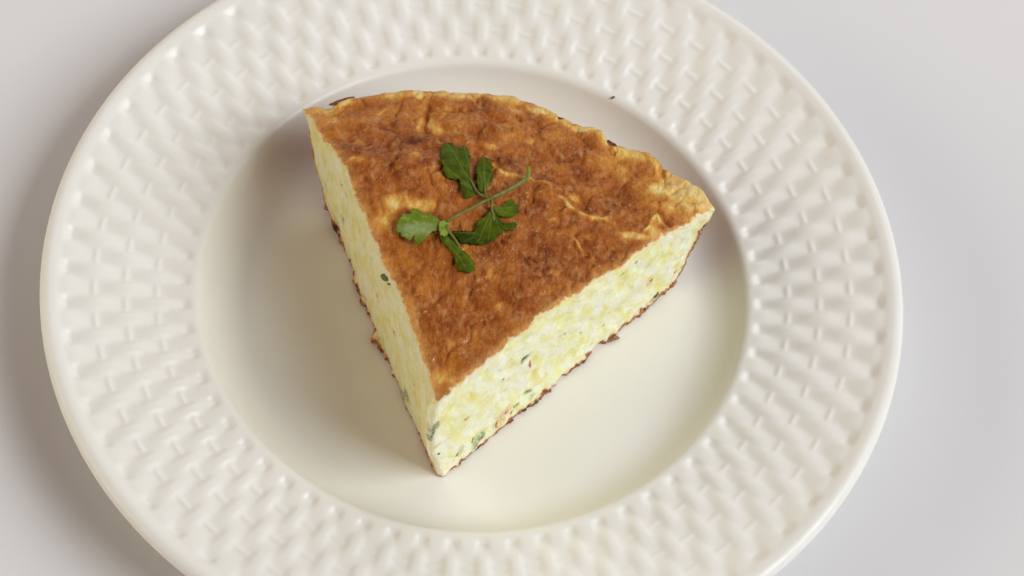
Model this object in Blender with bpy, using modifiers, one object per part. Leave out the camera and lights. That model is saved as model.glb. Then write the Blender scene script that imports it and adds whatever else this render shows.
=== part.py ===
"""A slice of potato omelette on its basket-weave dinner plate, with a sprig of coriander on top.

Metres, +Z up. The origin is the middle of the plate's foot, on the surface that the plate stands on. The slice
points to -Y, and +X is to its right.
"""

import math

import bmesh
import bpy
from mathutils import Matrix, Vector, noise

MM = 0.001
GAP = 0.3 * MM  # between pieces that rest on each other

# Plate
PLATE_RADIUS = 135 * MM
PLATE_HEIGHT = 25 * MM
PLATE_STEPS = 126  # one for each column of the weave
FLOOR_TOP = 7 * MM
FLOOR_RADIUS = 70 * MM
FLOOR_UNDERSIDE = 2.3 * MM
WALL = 4.5 * MM
WELL_BEND = 16 * MM  # radius of the curve from the floor up to the rim
WELL_LIP_BEND = 3.5 * MM
WELL_STEEPEST = math.radians(62)
RIM_SLOPE = math.radians(9.05)
EDGE_BEND = 2.2 * MM  # radius of the rounded outer edge
FOOT_OUTER = 57 * MM
FOOT_INNER = 50 * MM
FOOT_CHAMFER = 0.6 * MM

# Basket weave on the rim
WEAVE_INNER = 89.5 * MM
WEAVE_OUTER = 127.5 * MM
WEAVE_ROWS = 4
WEAVE_DEPTH = 0.9 * MM
WEAVE_TURN = math.radians(1.7)  # where the first column lies

# Slice
SLICE_TIP = Vector((-4.1 * MM, -64.7 * MM))
CUT_RIGHT = math.radians(49.8)
CUT_LEFT = math.radians(116.4)
RADIUS_RIGHT = 118.6 * MM
RADIUS_LEFT = 124.5 * MM
CROWN_RIGHT = 52.5 * MM
CROWN_LEFT = 50.5 * MM
CROWN_REACH_RIGHT = 0.34  # the top is level this far from the tip, then falls to the outer edge
CROWN_REACH_LEFT = 0.70
EDGE_HEIGHT = 30 * MM
SIDE_LIP = 4.4 * MM  # the top crust stands out over the side
SIDE_FOOT_RIGHT = 10 * MM  # the side turns in this much at the bottom
SIDE_FOOT_LEFT = 20 * MM
SIDE_STRAIGHT = 0.72  # share of the side's height where the lip starts and the foot ends
LUMPS = ((27 * MM, 1.3 * MM), (12 * MM, 0.7 * MM))  # size across and height of the top's lumps
CUT_CRAGS = (9 * MM, 0.7 * MM)  # the same for the cut faces
SLICE_CUTS = 24  # faces from the tip to the outer edge
SIDE_CUTS = 8  # faces from bottom to top

# Sprig
STEM_RADIUS = 0.55 * MM
LEAF_THICKNESS = 0.5 * MM
LEAF_ROWS = 7
LEAF_COLUMNS = 4
STEM_LIFT = 1.6 * MM  # above the slice's top
LEAF_LIFT = 1.5 * MM


def clear_scene():
    for obj in list(bpy.data.objects):
        bpy.data.objects.remove(obj, do_unlink=True)


def new_collection(name):
    collection = bpy.data.collections.new(name)
    bpy.context.scene.collection.children.link(collection)
    return collection


def new_object(name, mesh, collection):
    obj = bpy.data.objects.new(name, mesh)
    collection.objects.link(obj)
    return obj


def new_material(name, color, roughness):
    material = bpy.data.materials.new(name)
    material.use_nodes = True
    shader = material.node_tree.nodes["Principled BSDF"]
    shader.inputs["Base Color"].default_value = (*color, 1)
    shader.inputs["Roughness"].default_value = roughness
    shader.inputs["Metallic"].default_value = 0
    material.diffuse_color = (*color, 1)
    return material


def mix(low, high, share):
    return low + (high - low) * share


def smooth_step(low, high, value):
    share = min(max((value - low) / (high - low), 0), 1)
    return share * share * (3 - 2 * share)


def evaluated_mesh(obj):
    """The object's mesh with its modifiers applied."""
    bpy.context.view_layer.update()
    graph = bpy.context.evaluated_depsgraph_get()
    return bpy.data.meshes.new_from_object(obj.evaluated_get(graph))


def shade_round(mesh, sharp_angle=50):
    mesh.shade_smooth()
    mesh.set_sharp_from_angle(angle=math.radians(sharp_angle))


# ---------------------------------------------------------------- plate


def rim_top(radius):
    return PLATE_HEIGHT - (PLATE_RADIUS - radius) * math.tan(RIM_SLOPE)


def arc(centre_r, centre_z, radius, start, end, steps):
    """Points on a circle; an angle of 0 is straight below its middle, and angles grow outwards."""
    points = []
    for step in range(steps + 1):
        angle = mix(start, end, step / steps)
        points.append((centre_r + radius * math.sin(angle), centre_z - radius * math.cos(angle)))
    return points


def plate_profile():
    """(radius, height) from the middle of the floor, out over the rim and back underneath."""
    bend_z = FLOOR_TOP + WELL_BEND
    points = [(0, FLOOR_TOP)]
    points += arc(FLOOR_RADIUS, bend_z, WELL_BEND, 0, WELL_STEEPEST, 4)
    steep_r, steep_z = points[-1]
    lip_r = steep_r + WELL_LIP_BEND * math.sin(WELL_STEEPEST)
    lip_z = steep_z - WELL_LIP_BEND * math.cos(WELL_STEEPEST)
    lip = arc(lip_r, lip_z, -WELL_LIP_BEND, WELL_STEEPEST, RIM_SLOPE, 2)
    points += lip[1:]
    rows = 2 * WEAVE_ROWS
    for row in range(rows + 1):
        radius = mix(WEAVE_INNER, WEAVE_OUTER, row / rows)
        points.append((radius, rim_top(radius)))
    edge_r = PLATE_RADIUS - EDGE_BEND
    edge_z = PLATE_HEIGHT - EDGE_BEND
    points += arc(edge_r, edge_z, EDGE_BEND, math.pi - RIM_SLOPE, RIM_SLOPE, 4)
    points += arc(FLOOR_RADIUS, bend_z, WELL_BEND + WALL, WELL_STEEPEST, 0, 3)
    points += [
        (FOOT_OUTER + 2 * FOOT_CHAMFER, FLOOR_UNDERSIDE),
        (FOOT_OUTER, FOOT_CHAMFER),
        (FOOT_OUTER - FOOT_CHAMFER, 0),
        (FOOT_INNER + FOOT_CHAMFER, 0),
        (FOOT_INNER - FOOT_CHAMFER, FLOOR_UNDERSIDE),
        (0, FLOOR_UNDERSIDE),
    ]
    return points


def weave_dip(radius, turn):
    """How far the woven rim lies below its highest line: each column dives under every second row line."""
    if not WEAVE_INNER - GAP < radius < WEAVE_OUTER + GAP:
        return 0
    column = round(turn / (2 * math.pi / PLATE_STEPS))
    along = (radius - WEAVE_INNER) / (WEAVE_OUTER - WEAVE_INNER) * WEAVE_ROWS + column % 2
    return WEAVE_DEPTH * (0.5 + 0.5 * math.cos(math.pi * along))


def make_plate(collection):
    profile = bmesh.new()
    line = [profile.verts.new((radius, 0, height)) for radius, height in plate_profile()]
    for start, end in zip(line, line[1:]):
        profile.edges.new((start, end))
    mesh = bpy.data.meshes.new("plate_profile")
    profile.to_mesh(mesh)
    profile.free()
    turned = new_object("plate_profile", mesh, collection)
    screw = turned.modifiers.new("turn", "SCREW")
    screw.axis = "Z"
    screw.angle = 2 * math.pi
    screw.steps = screw.render_steps = PLATE_STEPS
    screw.use_merge_vertices = True
    screw.merge_threshold = 0.00005
    plate = new_object("plate", evaluated_mesh(turned), collection)
    bpy.data.objects.remove(turned)
    for vertex in plate.data.vertices:
        x, y, z = vertex.co
        radius = math.hypot(x, y)
        if z > rim_top(radius) - WALL / 2:
            vertex.co.z = z - weave_dip(radius, math.atan2(y, x) % (2 * math.pi))
    plate.data.transform(Matrix.Rotation(WEAVE_TURN, 4, "Z"))
    shade_round(plate.data)
    plate.data.materials.append(new_material("glazed_porcelain", (0.84, 0.82, 0.76), 0.2))
    return plate


# ---------------------------------------------------------------- slice


def slice_radius(turn):
    """Length of the slice along a line from its tip; turn is 0 on the right cut and 1 on the left cut."""
    return mix(RADIUS_RIGHT, RADIUS_LEFT, smooth_step(0.2, 0.62, turn))


def lumps(x, y):
    return sum(height * noise.noise(Vector((x / size, y / size, size / MM))) for size, height in LUMPS)


def crease(x, y, start, end, width, height):
    """A long ridge, or a groove if its height is negative, between two points given in millimetres."""
    start = Vector(start) * MM
    along = Vector(end) * MM - start
    share = min(max((Vector((x, y)) - start).dot(along) / along.length_squared, 0), 1)
    away = (Vector((x, y)) - start - along * share).length / (width * MM)
    return height * MM * math.exp(-away * away)


def folds(x, y):
    """The folds of the browned top: pillows between grooves, and two thin ridges."""
    total = crease(x, y, (-22, 54), (-20, 36), 3.5, -1.4)
    total += crease(x, y, (-20, 41), (7, 42), 4, 0.9)
    total += crease(x, y, (-32, 22), (-26, 31), 3.5, -1.0)
    total += crease(x, y, (-48, 30), (-34, 26), 4, -0.9)
    total += crease(x, y, (20, 17), (38, 5), 3.5, 0.7)
    total += crease(x, y, (30, 28), (44, 38), 4, -1.0)
    total += crease(x, y, (44, 14), (56, 6), 4, 0.8)
    total += crease(x, y, (5, -14), (2, -32), 4, -0.7)
    return total


def top_height(reach, turn, x, y):
    """Height of the slice over the plate's floor; reach is 0 at the tip and 1 at the outer edge."""
    crown = mix(CROWN_RIGHT, CROWN_LEFT, turn)
    level = mix(CROWN_REACH_RIGHT, CROWN_REACH_LEFT, smooth_step(0, 1, turn))
    fallen = max(reach - level, 0) / (1 - level)
    fade = 1 - 0.6 * smooth_step(0.9, 1, reach)
    return mix(crown, EDGE_HEIGHT, fallen**1.12) + fade * (lumps(x, y) + folds(x, y))


def side_inset(share, turn):
    """How far the outer side lies inside the top edge; share is 0 at the bottom and 1 at the top."""
    foot = mix(SIDE_FOOT_RIGHT, SIDE_FOOT_LEFT, turn)
    lip = SIDE_LIP * (1 - smooth_step(SIDE_STRAIGHT, 1, share))
    return lip + foot * max(1 - share / SIDE_STRAIGHT, 0) ** 1.3


def polar(turn, distance):
    angle = mix(CUT_RIGHT, CUT_LEFT, turn)
    return SLICE_TIP.x + distance * math.cos(angle), SLICE_TIP.y + distance * math.sin(angle)


def slice_point(u, v, w):
    """Where a point of the unit cube goes: u runs along the right cut, v along the left cut, w upwards."""
    reach = max(u, v)
    if reach == 0:
        turn = 0.5
    else:
        turn = v / (2 * reach) if u >= v else 1 - u / (2 * reach)
    radius = slice_radius(turn)
    top_x, top_y = polar(turn, reach * radius)
    height = w * top_height(reach, turn, top_x, top_y)
    x, y = polar(turn, reach * (radius - side_inset(w, turn)))
    if 0 < w < 1 and reach > 0.05:
        size, depth = CUT_CRAGS
        crag = depth * noise.noise(Vector((x / size, y / size, height / size)))
        if v == 0:
            x, y = x + crag * math.sin(CUT_RIGHT), y - crag * math.cos(CUT_RIGHT)
        elif u == 0:
            x, y = x - crag * math.sin(CUT_LEFT), y + crag * math.cos(CUT_LEFT)
    return x, y, FLOOR_TOP + GAP + height


def make_slice(collection):
    body = bmesh.new()
    bmesh.ops.create_cube(body, size=1, matrix=Matrix.Translation((0.5, 0.5, 0.5)))
    upright = [edge for edge in body.edges if abs(edge.verts[0].co.z - edge.verts[1].co.z) > 0.5]
    bmesh.ops.subdivide_edges(body, edges=upright, cuts=SIDE_CUTS - 1)
    level = [edge for edge in body.edges if abs(edge.verts[0].co.z - edge.verts[1].co.z) < 0.01]
    bmesh.ops.subdivide_edges(body, edges=level, cuts=SLICE_CUTS - 1, use_grid_fill=True)
    for vertex in body.verts:
        u, v, w = (round(value, 5) for value in vertex.co)
        vertex.co = slice_point(u, v, w)
    mesh = bpy.data.meshes.new("omelette")
    body.to_mesh(mesh)
    body.free()
    shade_round(mesh, 60)
    mesh.materials.append(new_material("browned_egg", (0.44, 0.17, 0.045), 0.45))
    return new_object("omelette", mesh, collection)


def slice_top(x, y):
    """World height of the slice's top at a place."""
    away = Vector((x, y)) - SLICE_TIP
    turn = (math.atan2(away.y, away.x) - CUT_RIGHT) / (CUT_LEFT - CUT_RIGHT)
    reach = away.length / slice_radius(turn)
    return FLOOR_TOP + GAP + top_height(reach, turn, x, y)


# ---------------------------------------------------------------- sprig


def stem(name, route, radius, collection):
    """A round stalk along (x, y, lift over the slice) points, in millimetres."""
    curve = bpy.data.curves.new(name, "CURVE")
    curve.dimensions = "3D"
    curve.bevel_depth = radius
    curve.bevel_resolution = 1
    curve.use_fill_caps = True
    spline = curve.splines.new("POLY")
    spline.points.add(len(route) - 1)
    for point, (x, y, lift) in zip(spline.points, route):
        place = Vector((x * MM, y * MM))
        point.co = (place.x, place.y, slice_top(place.x, place.y) + STEM_LIFT + lift * MM, 1)
    guide = new_object(name + "_guide", curve, collection)
    mesh = evaluated_mesh(guide)
    bpy.data.objects.remove(guide)
    welded = bmesh.new()
    welded.from_mesh(mesh)
    bmesh.ops.remove_doubles(welded, verts=welded.verts, dist=0.00001)
    bmesh.ops.recalc_face_normals(welded, faces=welded.faces)
    welded.to_mesh(mesh)
    welded.free()
    return new_object(name, mesh, collection)


def leaf(name, base, tip, width, lobes, rise, lift, collection):
    """A thin wavy leaflet from base to tip, in millimetres; lift raises all of it and rise only its tip."""
    start = Vector(base) * MM
    along = Vector(tip) * MM - start
    across = Vector((-along.y, along.x)).normalized()
    sheet = bmesh.new()
    bmesh.ops.create_grid(sheet, x_segments=LEAF_ROWS, y_segments=LEAF_COLUMNS, size=1)
    for vertex in sheet.verts:
        share = (vertex.co.x + 1) / 2
        side = vertex.co.y
        half = width / 2 * MM * (0.16 + 0.84 * math.sin(math.pi * (0.04 + 0.86 * share**0.9)))
        notch = 1 - 0.22 * abs(side) * (0.5 + 0.5 * math.cos(2 * math.pi * lobes * share))
        reach = share * (1 - 0.14 * side * side)
        place = start + along * reach + across * side * half * notch
        wave = 0.45 * MM * math.sin(7 * share + 2 * side) * share
        cup = 0.7 * MM * side * side * share
        height = slice_top(place.x, place.y) + LEAF_LIFT + (lift + rise * share) * MM + wave + cup
        vertex.co = (place.x, place.y, height)
    bmesh.ops.triangulate(sheet, faces=sheet.faces, quad_method="FIXED")
    mesh = bpy.data.meshes.new(name)
    sheet.to_mesh(mesh)
    sheet.free()
    thin = new_object(name + "_sheet", mesh, collection)
    solidify = thin.modifiers.new("thickness", "SOLIDIFY")
    solidify.thickness = LEAF_THICKNESS
    solidify.offset = 0
    solid = new_object(name, evaluated_mesh(thin), collection)
    bpy.data.objects.remove(thin)
    return solid


# Points (x, y, lift over the stems' own height)
STEMS = {
    "stalk": [(12.9, 17.6, 1.2), (13, 13.8, 0.9), (8.5, 9.4, 0.7), (2.4, 5.5, 0.5), (-4, 0, 0.3), (-10.6, -5.4, 0.2)],
    "petiole_left": [(-10, -4.9, 0.2), (-12, -7, 0.1), (-15.6, -7.9, 0.2)],
    "petiole_front": [(-9.9, -5, 0.2), (-9.6, -8.8, 0), (-8, -12, 0.1)],
    "petiole_back": [(3, 5.6, 0.5), (-2.4, 7.6, 0.1), (-6, 12.4, 0), (-7.5, 16, 0.2)],
    "petiole_middle": [(2.6, 5.3, 0.5), (0.4, 8, 0), (-0.3, 12.5, 0.3)],
    "petiole_right": [(2.3, 5.8, 0.5), (2.7, 1.5, 0), (2.6, -4.5, 0)],
    "petiole_right_end": [(2.7, -2.4, 0), (4.4, -4.2, 0.3), (7, -4.5, 0.5)],
    "petiole_low_left": [(2.4, -6.4, 0), (0.4, -9.4, -0.5), (-3.4, -9.9, -0.6)],
}
# Base, tip, width, lobes, rise of the tip, lift over the leaves' own height
LEAVES = {
    "leaf_left": ((-12, -7.2), (-24.6, -8.6), 12.5, 3, 1.2, 0),
    "leaf_front": ((-9.6, -8.8), (-1.6, -21.8), 4.6, 2, 0.6, 0),
    "leaf_back": ((-5.8, 11.6), (-11, 26), 11.5, 3, 1.0, 0),
    "leaf_back_low": ((-3.2, 8), (-6.6, 4.2), 4.6, 1, 0.2, 0),
    "leaf_middle": ((0.4, 7.4), (-0.9, 22.2), 5.8, 3, 1.2, 0),
    "leaf_right": ((2.9, 1.6), (11.6, 2.6), 5.6, 2, 0.5, 0.5),
    "leaf_right_low": ((2.8, 0.6), (2.2, -11), 9.4, 3, 0.3, 0),
    "leaf_right_end": ((4, -4.4), (11.8, -4.4), 4, 1, 0.3, 0.7),
    "leaf_low_left": ((1, -9.6), (-8.2, -10), 4.4, 2, 0.2, -0.7),
}


def make_sprig(collection):
    pieces = new_collection("sprig_pieces")
    joined = stem("coriander", STEMS["stalk"], STEM_RADIUS, collection)
    for name, route in STEMS.items():
        if name != "stalk":
            stem(name, route, STEM_RADIUS * 0.8, pieces)
    for name, shape in LEAVES.items():
        leaf(name, *shape, pieces)
    union = joined.modifiers.new("join", "BOOLEAN")
    union.operation = "UNION"
    union.solver = "MANIFOLD"
    union.operand_type = "COLLECTION"
    union.collection = pieces
    joined.data = evaluated_mesh(joined)
    joined.modifiers.clear()
    for piece in list(pieces.objects):
        bpy.data.objects.remove(piece)
    bpy.data.collections.remove(pieces)
    shade_round(joined.data, 40)
    joined.data.materials.clear()
    joined.data.materials.append(new_material("coriander_leaf", (0.07, 0.19, 0.03), 0.5))
    return joined


def main():
    clear_scene()
    dish = new_collection("potato_omelette")
    make_plate(dish)
    make_slice(dish)
    make_sprig(dish)


main()
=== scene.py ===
"""The looks of a slice of potato omelette on a woven dinner plate, with a sprig of coriander on top.

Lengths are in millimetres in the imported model's frame: the origin is the middle of the plate's foot, +Z is up
and the slice points to -Y. They turn into metres where a mesh or a material's node is made. A pair of values
for the slice is for its right cut and its left cut.
"""

import random
from collections import namedtuple
from math import cos, hypot, pi, radians, sin, tan

import bmesh
import bpy
import numpy as np
from mathutils import Matrix, Vector, noise


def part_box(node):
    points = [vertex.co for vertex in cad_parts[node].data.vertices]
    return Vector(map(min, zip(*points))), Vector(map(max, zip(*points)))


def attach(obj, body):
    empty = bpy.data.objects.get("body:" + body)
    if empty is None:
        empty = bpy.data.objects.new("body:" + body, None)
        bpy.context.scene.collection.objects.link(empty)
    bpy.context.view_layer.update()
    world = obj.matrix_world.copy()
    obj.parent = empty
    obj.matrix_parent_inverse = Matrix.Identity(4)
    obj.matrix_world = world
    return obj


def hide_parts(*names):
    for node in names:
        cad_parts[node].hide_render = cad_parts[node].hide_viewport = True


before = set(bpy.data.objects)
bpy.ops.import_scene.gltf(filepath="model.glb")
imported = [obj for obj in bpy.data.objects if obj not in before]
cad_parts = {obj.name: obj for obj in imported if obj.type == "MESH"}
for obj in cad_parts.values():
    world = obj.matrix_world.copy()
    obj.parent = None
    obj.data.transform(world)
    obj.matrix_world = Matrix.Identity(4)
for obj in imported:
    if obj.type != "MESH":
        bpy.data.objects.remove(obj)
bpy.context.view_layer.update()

MM = 0.001
SEED = 11

# ---------------------------------------------------------------- small helpers


def mix(low, high, share):
    return low + (high - low) * share


def smooth_step(low, high, value):
    share = np.clip((value - low) / (high - low), 0, 1)
    return share * share * (3 - 2 * share)


def bell(value, width, power=2):
    """1 where the value is 0, falling towards 0 on both sides; a higher power gives a flatter top."""
    return np.exp(-np.abs(value / width) ** power)


def columns(*parts):
    """Arrays and numbers side by side, one row for each point."""
    return np.stack(np.broadcast_arrays(*parts), axis=1)


def noise_at(points, size, seed=0.0):
    """Smooth noise from about -1 to 1 at each point; size is the width of its lumps."""
    return np.array([noise.noise(Vector(point)) for point in points / size + seed])


def layered(points, *layers):
    """Sum of noises, each given as its strength, size and seed."""
    return sum(strength * noise_at(points, size, seed) for strength, size, seed in layers)


def patch_mask(x, y, middle_x, middle_y, along, across, turn):
    """A soft oval patch with these half sizes; turn is in degrees."""
    c, s = cos(radians(turn)), sin(radians(turn))
    px, py = x - middle_x, y - middle_y
    return np.exp(-(((px * c + py * s) / along) ** 2 + ((py * c - px * s) / across) ** 2) ** 1.3)


def from_line(x, y, x0, y0, x1, y1):
    """Distance from each point to a straight line between two places."""
    dx, dy = x1 - x0, y1 - y0
    px, py = x - x0, y - y0
    share = np.clip((px * dx + py * dy) / (dx * dx + dy * dy), 0, 1)
    return np.hypot(px - share * dx, py - share * dy)


def from_route(x, y, route):
    """Distance from each point to a line through places, which are listed as x, y, x, y and so on."""
    places = list(zip(route[::2], route[1::2]))
    return np.min([from_line(x, y, *start, *end) for start, end in zip(places, places[1:])], axis=0)


def strip(low, high, sides):
    """Faces between two rings of points whose first points have these numbers."""
    steps = [(side, (side + 1) % sides) for side in range(sides)]
    return [(low + side, high + side, high + after, low + after) for side, after in steps]


def body_faces(rings, sides):
    """Faces of a body made of rings of points, closed at both ends."""
    faces = [face for ring in range(rings - 1) for face in strip(ring * sides, (ring + 1) * sides, sides)]
    last = (rings - 1) * sides
    return faces + [tuple(range(sides)), tuple(range(last + sides - 1, last - 1, -1))]


def flipped(faces):
    return [face[:1] + face[:0:-1] for face in faces]


def blade_faces(rings, sides):
    """Faces of a thin blade: a middle point and rings around it, and the same again for its underside."""
    upper = [(0, 1 + side, 1 + (side + 1) % sides) for side in range(sides)]
    for ring in range(rings - 1):
        upper += strip(1 + ring * sides, 1 + (ring + 1) * sides, sides)
    count = 1 + rings * sides
    lower = [tuple(count + number for number in face) for face in flipped(upper)]
    last = count - sides
    return upper + lower + strip(last, count + last, sides)


def new_object(name, data):
    made = bpy.data.objects.new(name, data)
    bpy.context.scene.collection.objects.link(made)
    return made


def make_piece(name, parts, material, node=None):
    """One smooth piece from parts, each with points, faces and named values that the material reads."""
    points, faces, values = [], [], {}
    for part_points, part_faces, part_values in parts:
        faces += [[len(points) + number for number in face] for face in part_faces]
        points += list(part_points)
        for label, numbers in part_values.items():
            values.setdefault(label, []).extend(numbers)
    mesh = bpy.data.meshes.new(name)
    mesh.from_pydata((np.array(points, float) * MM).tolist(), [], faces)
    for label, numbers in values.items():
        mesh.attributes.new(label, "FLOAT", "POINT").data.foreach_set("value", np.array(numbers, np.float32))
    mesh.shade_smooth()
    mesh.materials.append(material)
    mesh.update()
    obj = new_object(name, mesh)
    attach(obj, "root")
    if node:
        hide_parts(node)


# ---------------------------------------------------------------- plate

INSIDE_SOLID = 0.02  # how far the rim stays inside the solid's
PLATE_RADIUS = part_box("plate")[1].x / MM - INSIDE_SOLID
PLATE_TOP = 25
FLOOR_TOP = 7
FLOOR_UNDERSIDE = 2.3
WALL = 4.5
WELL_LIP = 87.9
WELL_LIP_BEND = 3.5
WELL_STEEPEST = radians(62)
RIM_SLOPE = radians(9.05)
EDGE_ROLL = 3
EDGE_UNDER_ROLL = WALL - EDGE_ROLL
FOOT_OUTER = 57
FOOT_INNER = 50
FOOT_CHAMFER = 0.6

WEAVE_COLUMNS = 126
WEAVE_INNER = 89.5
WEAVE_OUTER = 128
WEAVE_ROWS = 4
WEAVE_DEPTH = 1.34
WEAVE_WALL = 3.2  # width of the slope from a dip up to the smooth bands
WEAVE_CORD = 0.4  # height of the thin ridge across each dip
CORD_WIDTH = 0.8
GROOVE_DEPTH = 0.65  # of the grooves between two columns, as a share of the dips' depth
WEAVE_TURN = radians(2.95)
WEAVE_STEP = 0.55  # between rings of points
SIDES_PER_COLUMN = 6


def rim_line(radius):
    return PLATE_TOP - (PLATE_RADIUS - radius) * tan(RIM_SLOPE)


# The well's bend and the flat floor's radius follow from the lip, where the well's wall meets the rim
LIP_BEND_RISE = WELL_LIP_BEND * (cos(RIM_SLOPE) - cos(WELL_STEEPEST))
WELL_BEND = (rim_line(WELL_LIP) - FLOOR_TOP - LIP_BEND_RISE) / (1 - cos(WELL_STEEPEST))
STEEP_REACH = (WELL_BEND + WELL_LIP_BEND) * sin(WELL_STEEPEST)
FLOOR_RADIUS = WELL_LIP + WELL_LIP_BEND * sin(RIM_SLOPE) - STEEP_REACH
ROLL_START = PLATE_RADIUS - EDGE_ROLL * (1 + sin(RIM_SLOPE))
EDGE_RISE = PLATE_TOP - EDGE_ROLL * (1 - cos(RIM_SLOPE)) - rim_line(ROLL_START)


def rim_top(radius):
    return rim_line(radius) + EDGE_RISE * smooth_step(WEAVE_OUTER, ROLL_START, radius)


def arc(centre_r, centre_z, radius, start, end, steps):
    """Points on a circle; an angle of 0 is straight below its middle, and angles grow outwards."""
    angles = np.linspace(start, end, steps + 1)
    return [(centre_r + radius * sin(angle), centre_z - radius * cos(angle)) for angle in angles]


def plate_profile():
    """(radius, height) from the middle of the floor, out over the rim and back underneath."""
    bend_z = FLOOR_TOP + WELL_BEND
    edge_z = PLATE_TOP - EDGE_ROLL
    points = [(radius, FLOOR_TOP) for radius in (1, 20, 40, 58)]
    points += arc(FLOOR_RADIUS, bend_z, WELL_BEND, 0, WELL_STEEPEST, 12)
    steep_r, steep_z = points[-1]
    lip_r = steep_r + WELL_LIP_BEND * sin(WELL_STEEPEST)
    lip_z = steep_z - WELL_LIP_BEND * cos(WELL_STEEPEST)
    points += arc(lip_r, lip_z, -WELL_LIP_BEND, WELL_STEEPEST, RIM_SLOPE, 7)[1:]
    woven = np.arange(WELL_LIP + 0.3, WEAVE_OUTER + WEAVE_WALL / 2 + WEAVE_STEP, WEAVE_STEP)
    points += [(radius, rim_top(radius)) for radius in woven]
    points += arc(PLATE_RADIUS - EDGE_ROLL, edge_z, EDGE_ROLL, pi + RIM_SLOPE, pi / 2, 9)
    points += arc(PLATE_RADIUS - EDGE_UNDER_ROLL, edge_z, EDGE_UNDER_ROLL, pi / 2, RIM_SLOPE, 4)[1:]
    points += arc(FLOOR_RADIUS, bend_z, WELL_BEND + WALL, WELL_STEEPEST, 0, 6)
    return points + [
        (FOOT_OUTER + 2 * FOOT_CHAMFER, FLOOR_UNDERSIDE),
        (FOOT_OUTER + 0.4 * FOOT_CHAMFER, 1.6 * FOOT_CHAMFER),
        (FOOT_OUTER, FOOT_CHAMFER),
        (FOOT_OUTER - FOOT_CHAMFER, 0),
        (FOOT_INNER + FOOT_CHAMFER, 0),
        (FOOT_INNER, FOOT_CHAMFER),
        (FOOT_INNER - FOOT_CHAMFER, FLOOR_UNDERSIDE),
        (1, FLOOR_UNDERSIDE),
    ]


def weave_height(radius, side):
    """Relief of the woven rim: strands that dive under every second row, and a thin cord across each dip."""
    column = np.round(side / SIDES_PER_COLUMN)
    across = np.abs(side / SIDES_PER_COLUMN - column) * 2
    row_gap = (WEAVE_OUTER - WEAVE_INNER) / WEAVE_ROWS
    along = (radius - WEAVE_INNER) / row_gap + column % 2
    dive = np.cos(pi * along / 2) ** 2
    groove = across**2.4
    off_row = (along - 2 * np.round(along / 2)) * row_gap
    cord = WEAVE_CORD * bell(off_row, CORD_WIDTH) * (1 - across**4)
    from_band = min(radius - WEAVE_INNER, WEAVE_OUTER - radius)
    dip_share = smooth_step(-WEAVE_WALL / 2, WEAVE_WALL / 2, from_band)
    groove_share = GROOVE_DEPTH * smooth_step(-WEAVE_WALL / 2, 2 * WEAVE_WALL, from_band)
    depth = WEAVE_DEPTH * (dip_share * dive * (1 - groove) + groove_share * groove)
    return cord * (from_band > WEAVE_WALL) - depth


def plate_part():
    profile = plate_profile()
    side = np.arange(WEAVE_COLUMNS * SIDES_PER_COLUMN)
    angle = WEAVE_TURN + 2 * pi * side / len(side)
    rings = []
    for radius, height in profile:
        on_rim = abs(height - rim_top(radius)) < 0.01
        relief = weave_height(radius, side) if on_rim else 0
        rings.append(columns(radius * np.cos(angle), radius * np.sin(angle), height + relief))
    return np.concatenate(rings), body_faces(len(profile), len(side)), {}


# ---------------------------------------------------------------- shape of the slice

BASE = FLOOR_TOP + 0.3  # the slice's underside, just clear of the plate's floor
TIP_X, TIP_Y = -4.1, -64.7
CUT_RIGHT = radians(49.8)
CUT_LEFT = radians(116.4)
RADII = (118.6, 124.5)
# The top is level as far as this share of the radius, then it falls to the outer edge
CROWN_HEIGHTS = (52.5, 50.5)
CROWN_REACHES = (0.34, 0.7)
CROWN_FALL = 1.12
EDGE_HEIGHT = 30
LUMPS = ((27, 1.3), (12, 0.7))  # size and height
# How far the outer side lies inside the top's edge, how much farther at its foot, and the share of its height
# below which it turns in
SIDE_LIP = 4.4
SIDE_FEET = (10, 20)
SIDE_STRAIGHT = 0.72
SKIN_CUTS = 196  # faces from the tip to the outer edge
SIDE_CUTS = 72  # faces from bottom to top

# Waves of the top's outer edge: place from the right cut, 0, to the left cut, 1; half width; how far outwards
EDGE_WAVES = (
    (0.07, 0.045, 2.2), (0.2, 0.055, 3), (0.335, 0.028, 2.2), (0.54, 0.1, 1.5), (0.74, 0.08, 1),
    (0.9, 0.018, 1), (0.95, 0.02, -2), (1, 0.012, 0.8),
)
# The edge between the two cuts, by height: its rounding, and how far the crumb bulges out of it
TIP_HEIGHTS = (0, 4, 9, 19, 30, 44, 48, 51)
TIP_RADII = (1.8, 1.6, 1.6, 1.8, 1.8, 1.6, 1.6, 2.0)
TIP_BULGES = (0, 0, 1.4, 4.2, 5.2, 5.0, 3.8, 0.9)
TIP_REACH = 24
# Folds of the browned top: width, height (a groove if negative), start and end
FOLDS = (
    (3.5, -1.7, -22, 54, -20, 36), (4, 1.1, -20, 41, 7, 42), (3.5, -1.3, -32, 22, -26, 31),
    (4, -1.2, -48, 30, -34, 26), (3.5, 0.9, 20, 17, 38, 5), (4, -1.4, 30, 28, 44, 38), (4, 1, 44, 14, 56, 6),
    (2.8, -1.2, 52, 36, 59, 27), (3, 0.8, 48, 28, 56, 21), (4, -0.9, 5, -14, 2, -32),
)


def slice_radius(turn):
    """Length of the slice along a line from its tip; turn is 0 on the right cut and 1 on the left cut."""
    return mix(*RADII, smooth_step(0.2, 0.62, turn))


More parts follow.
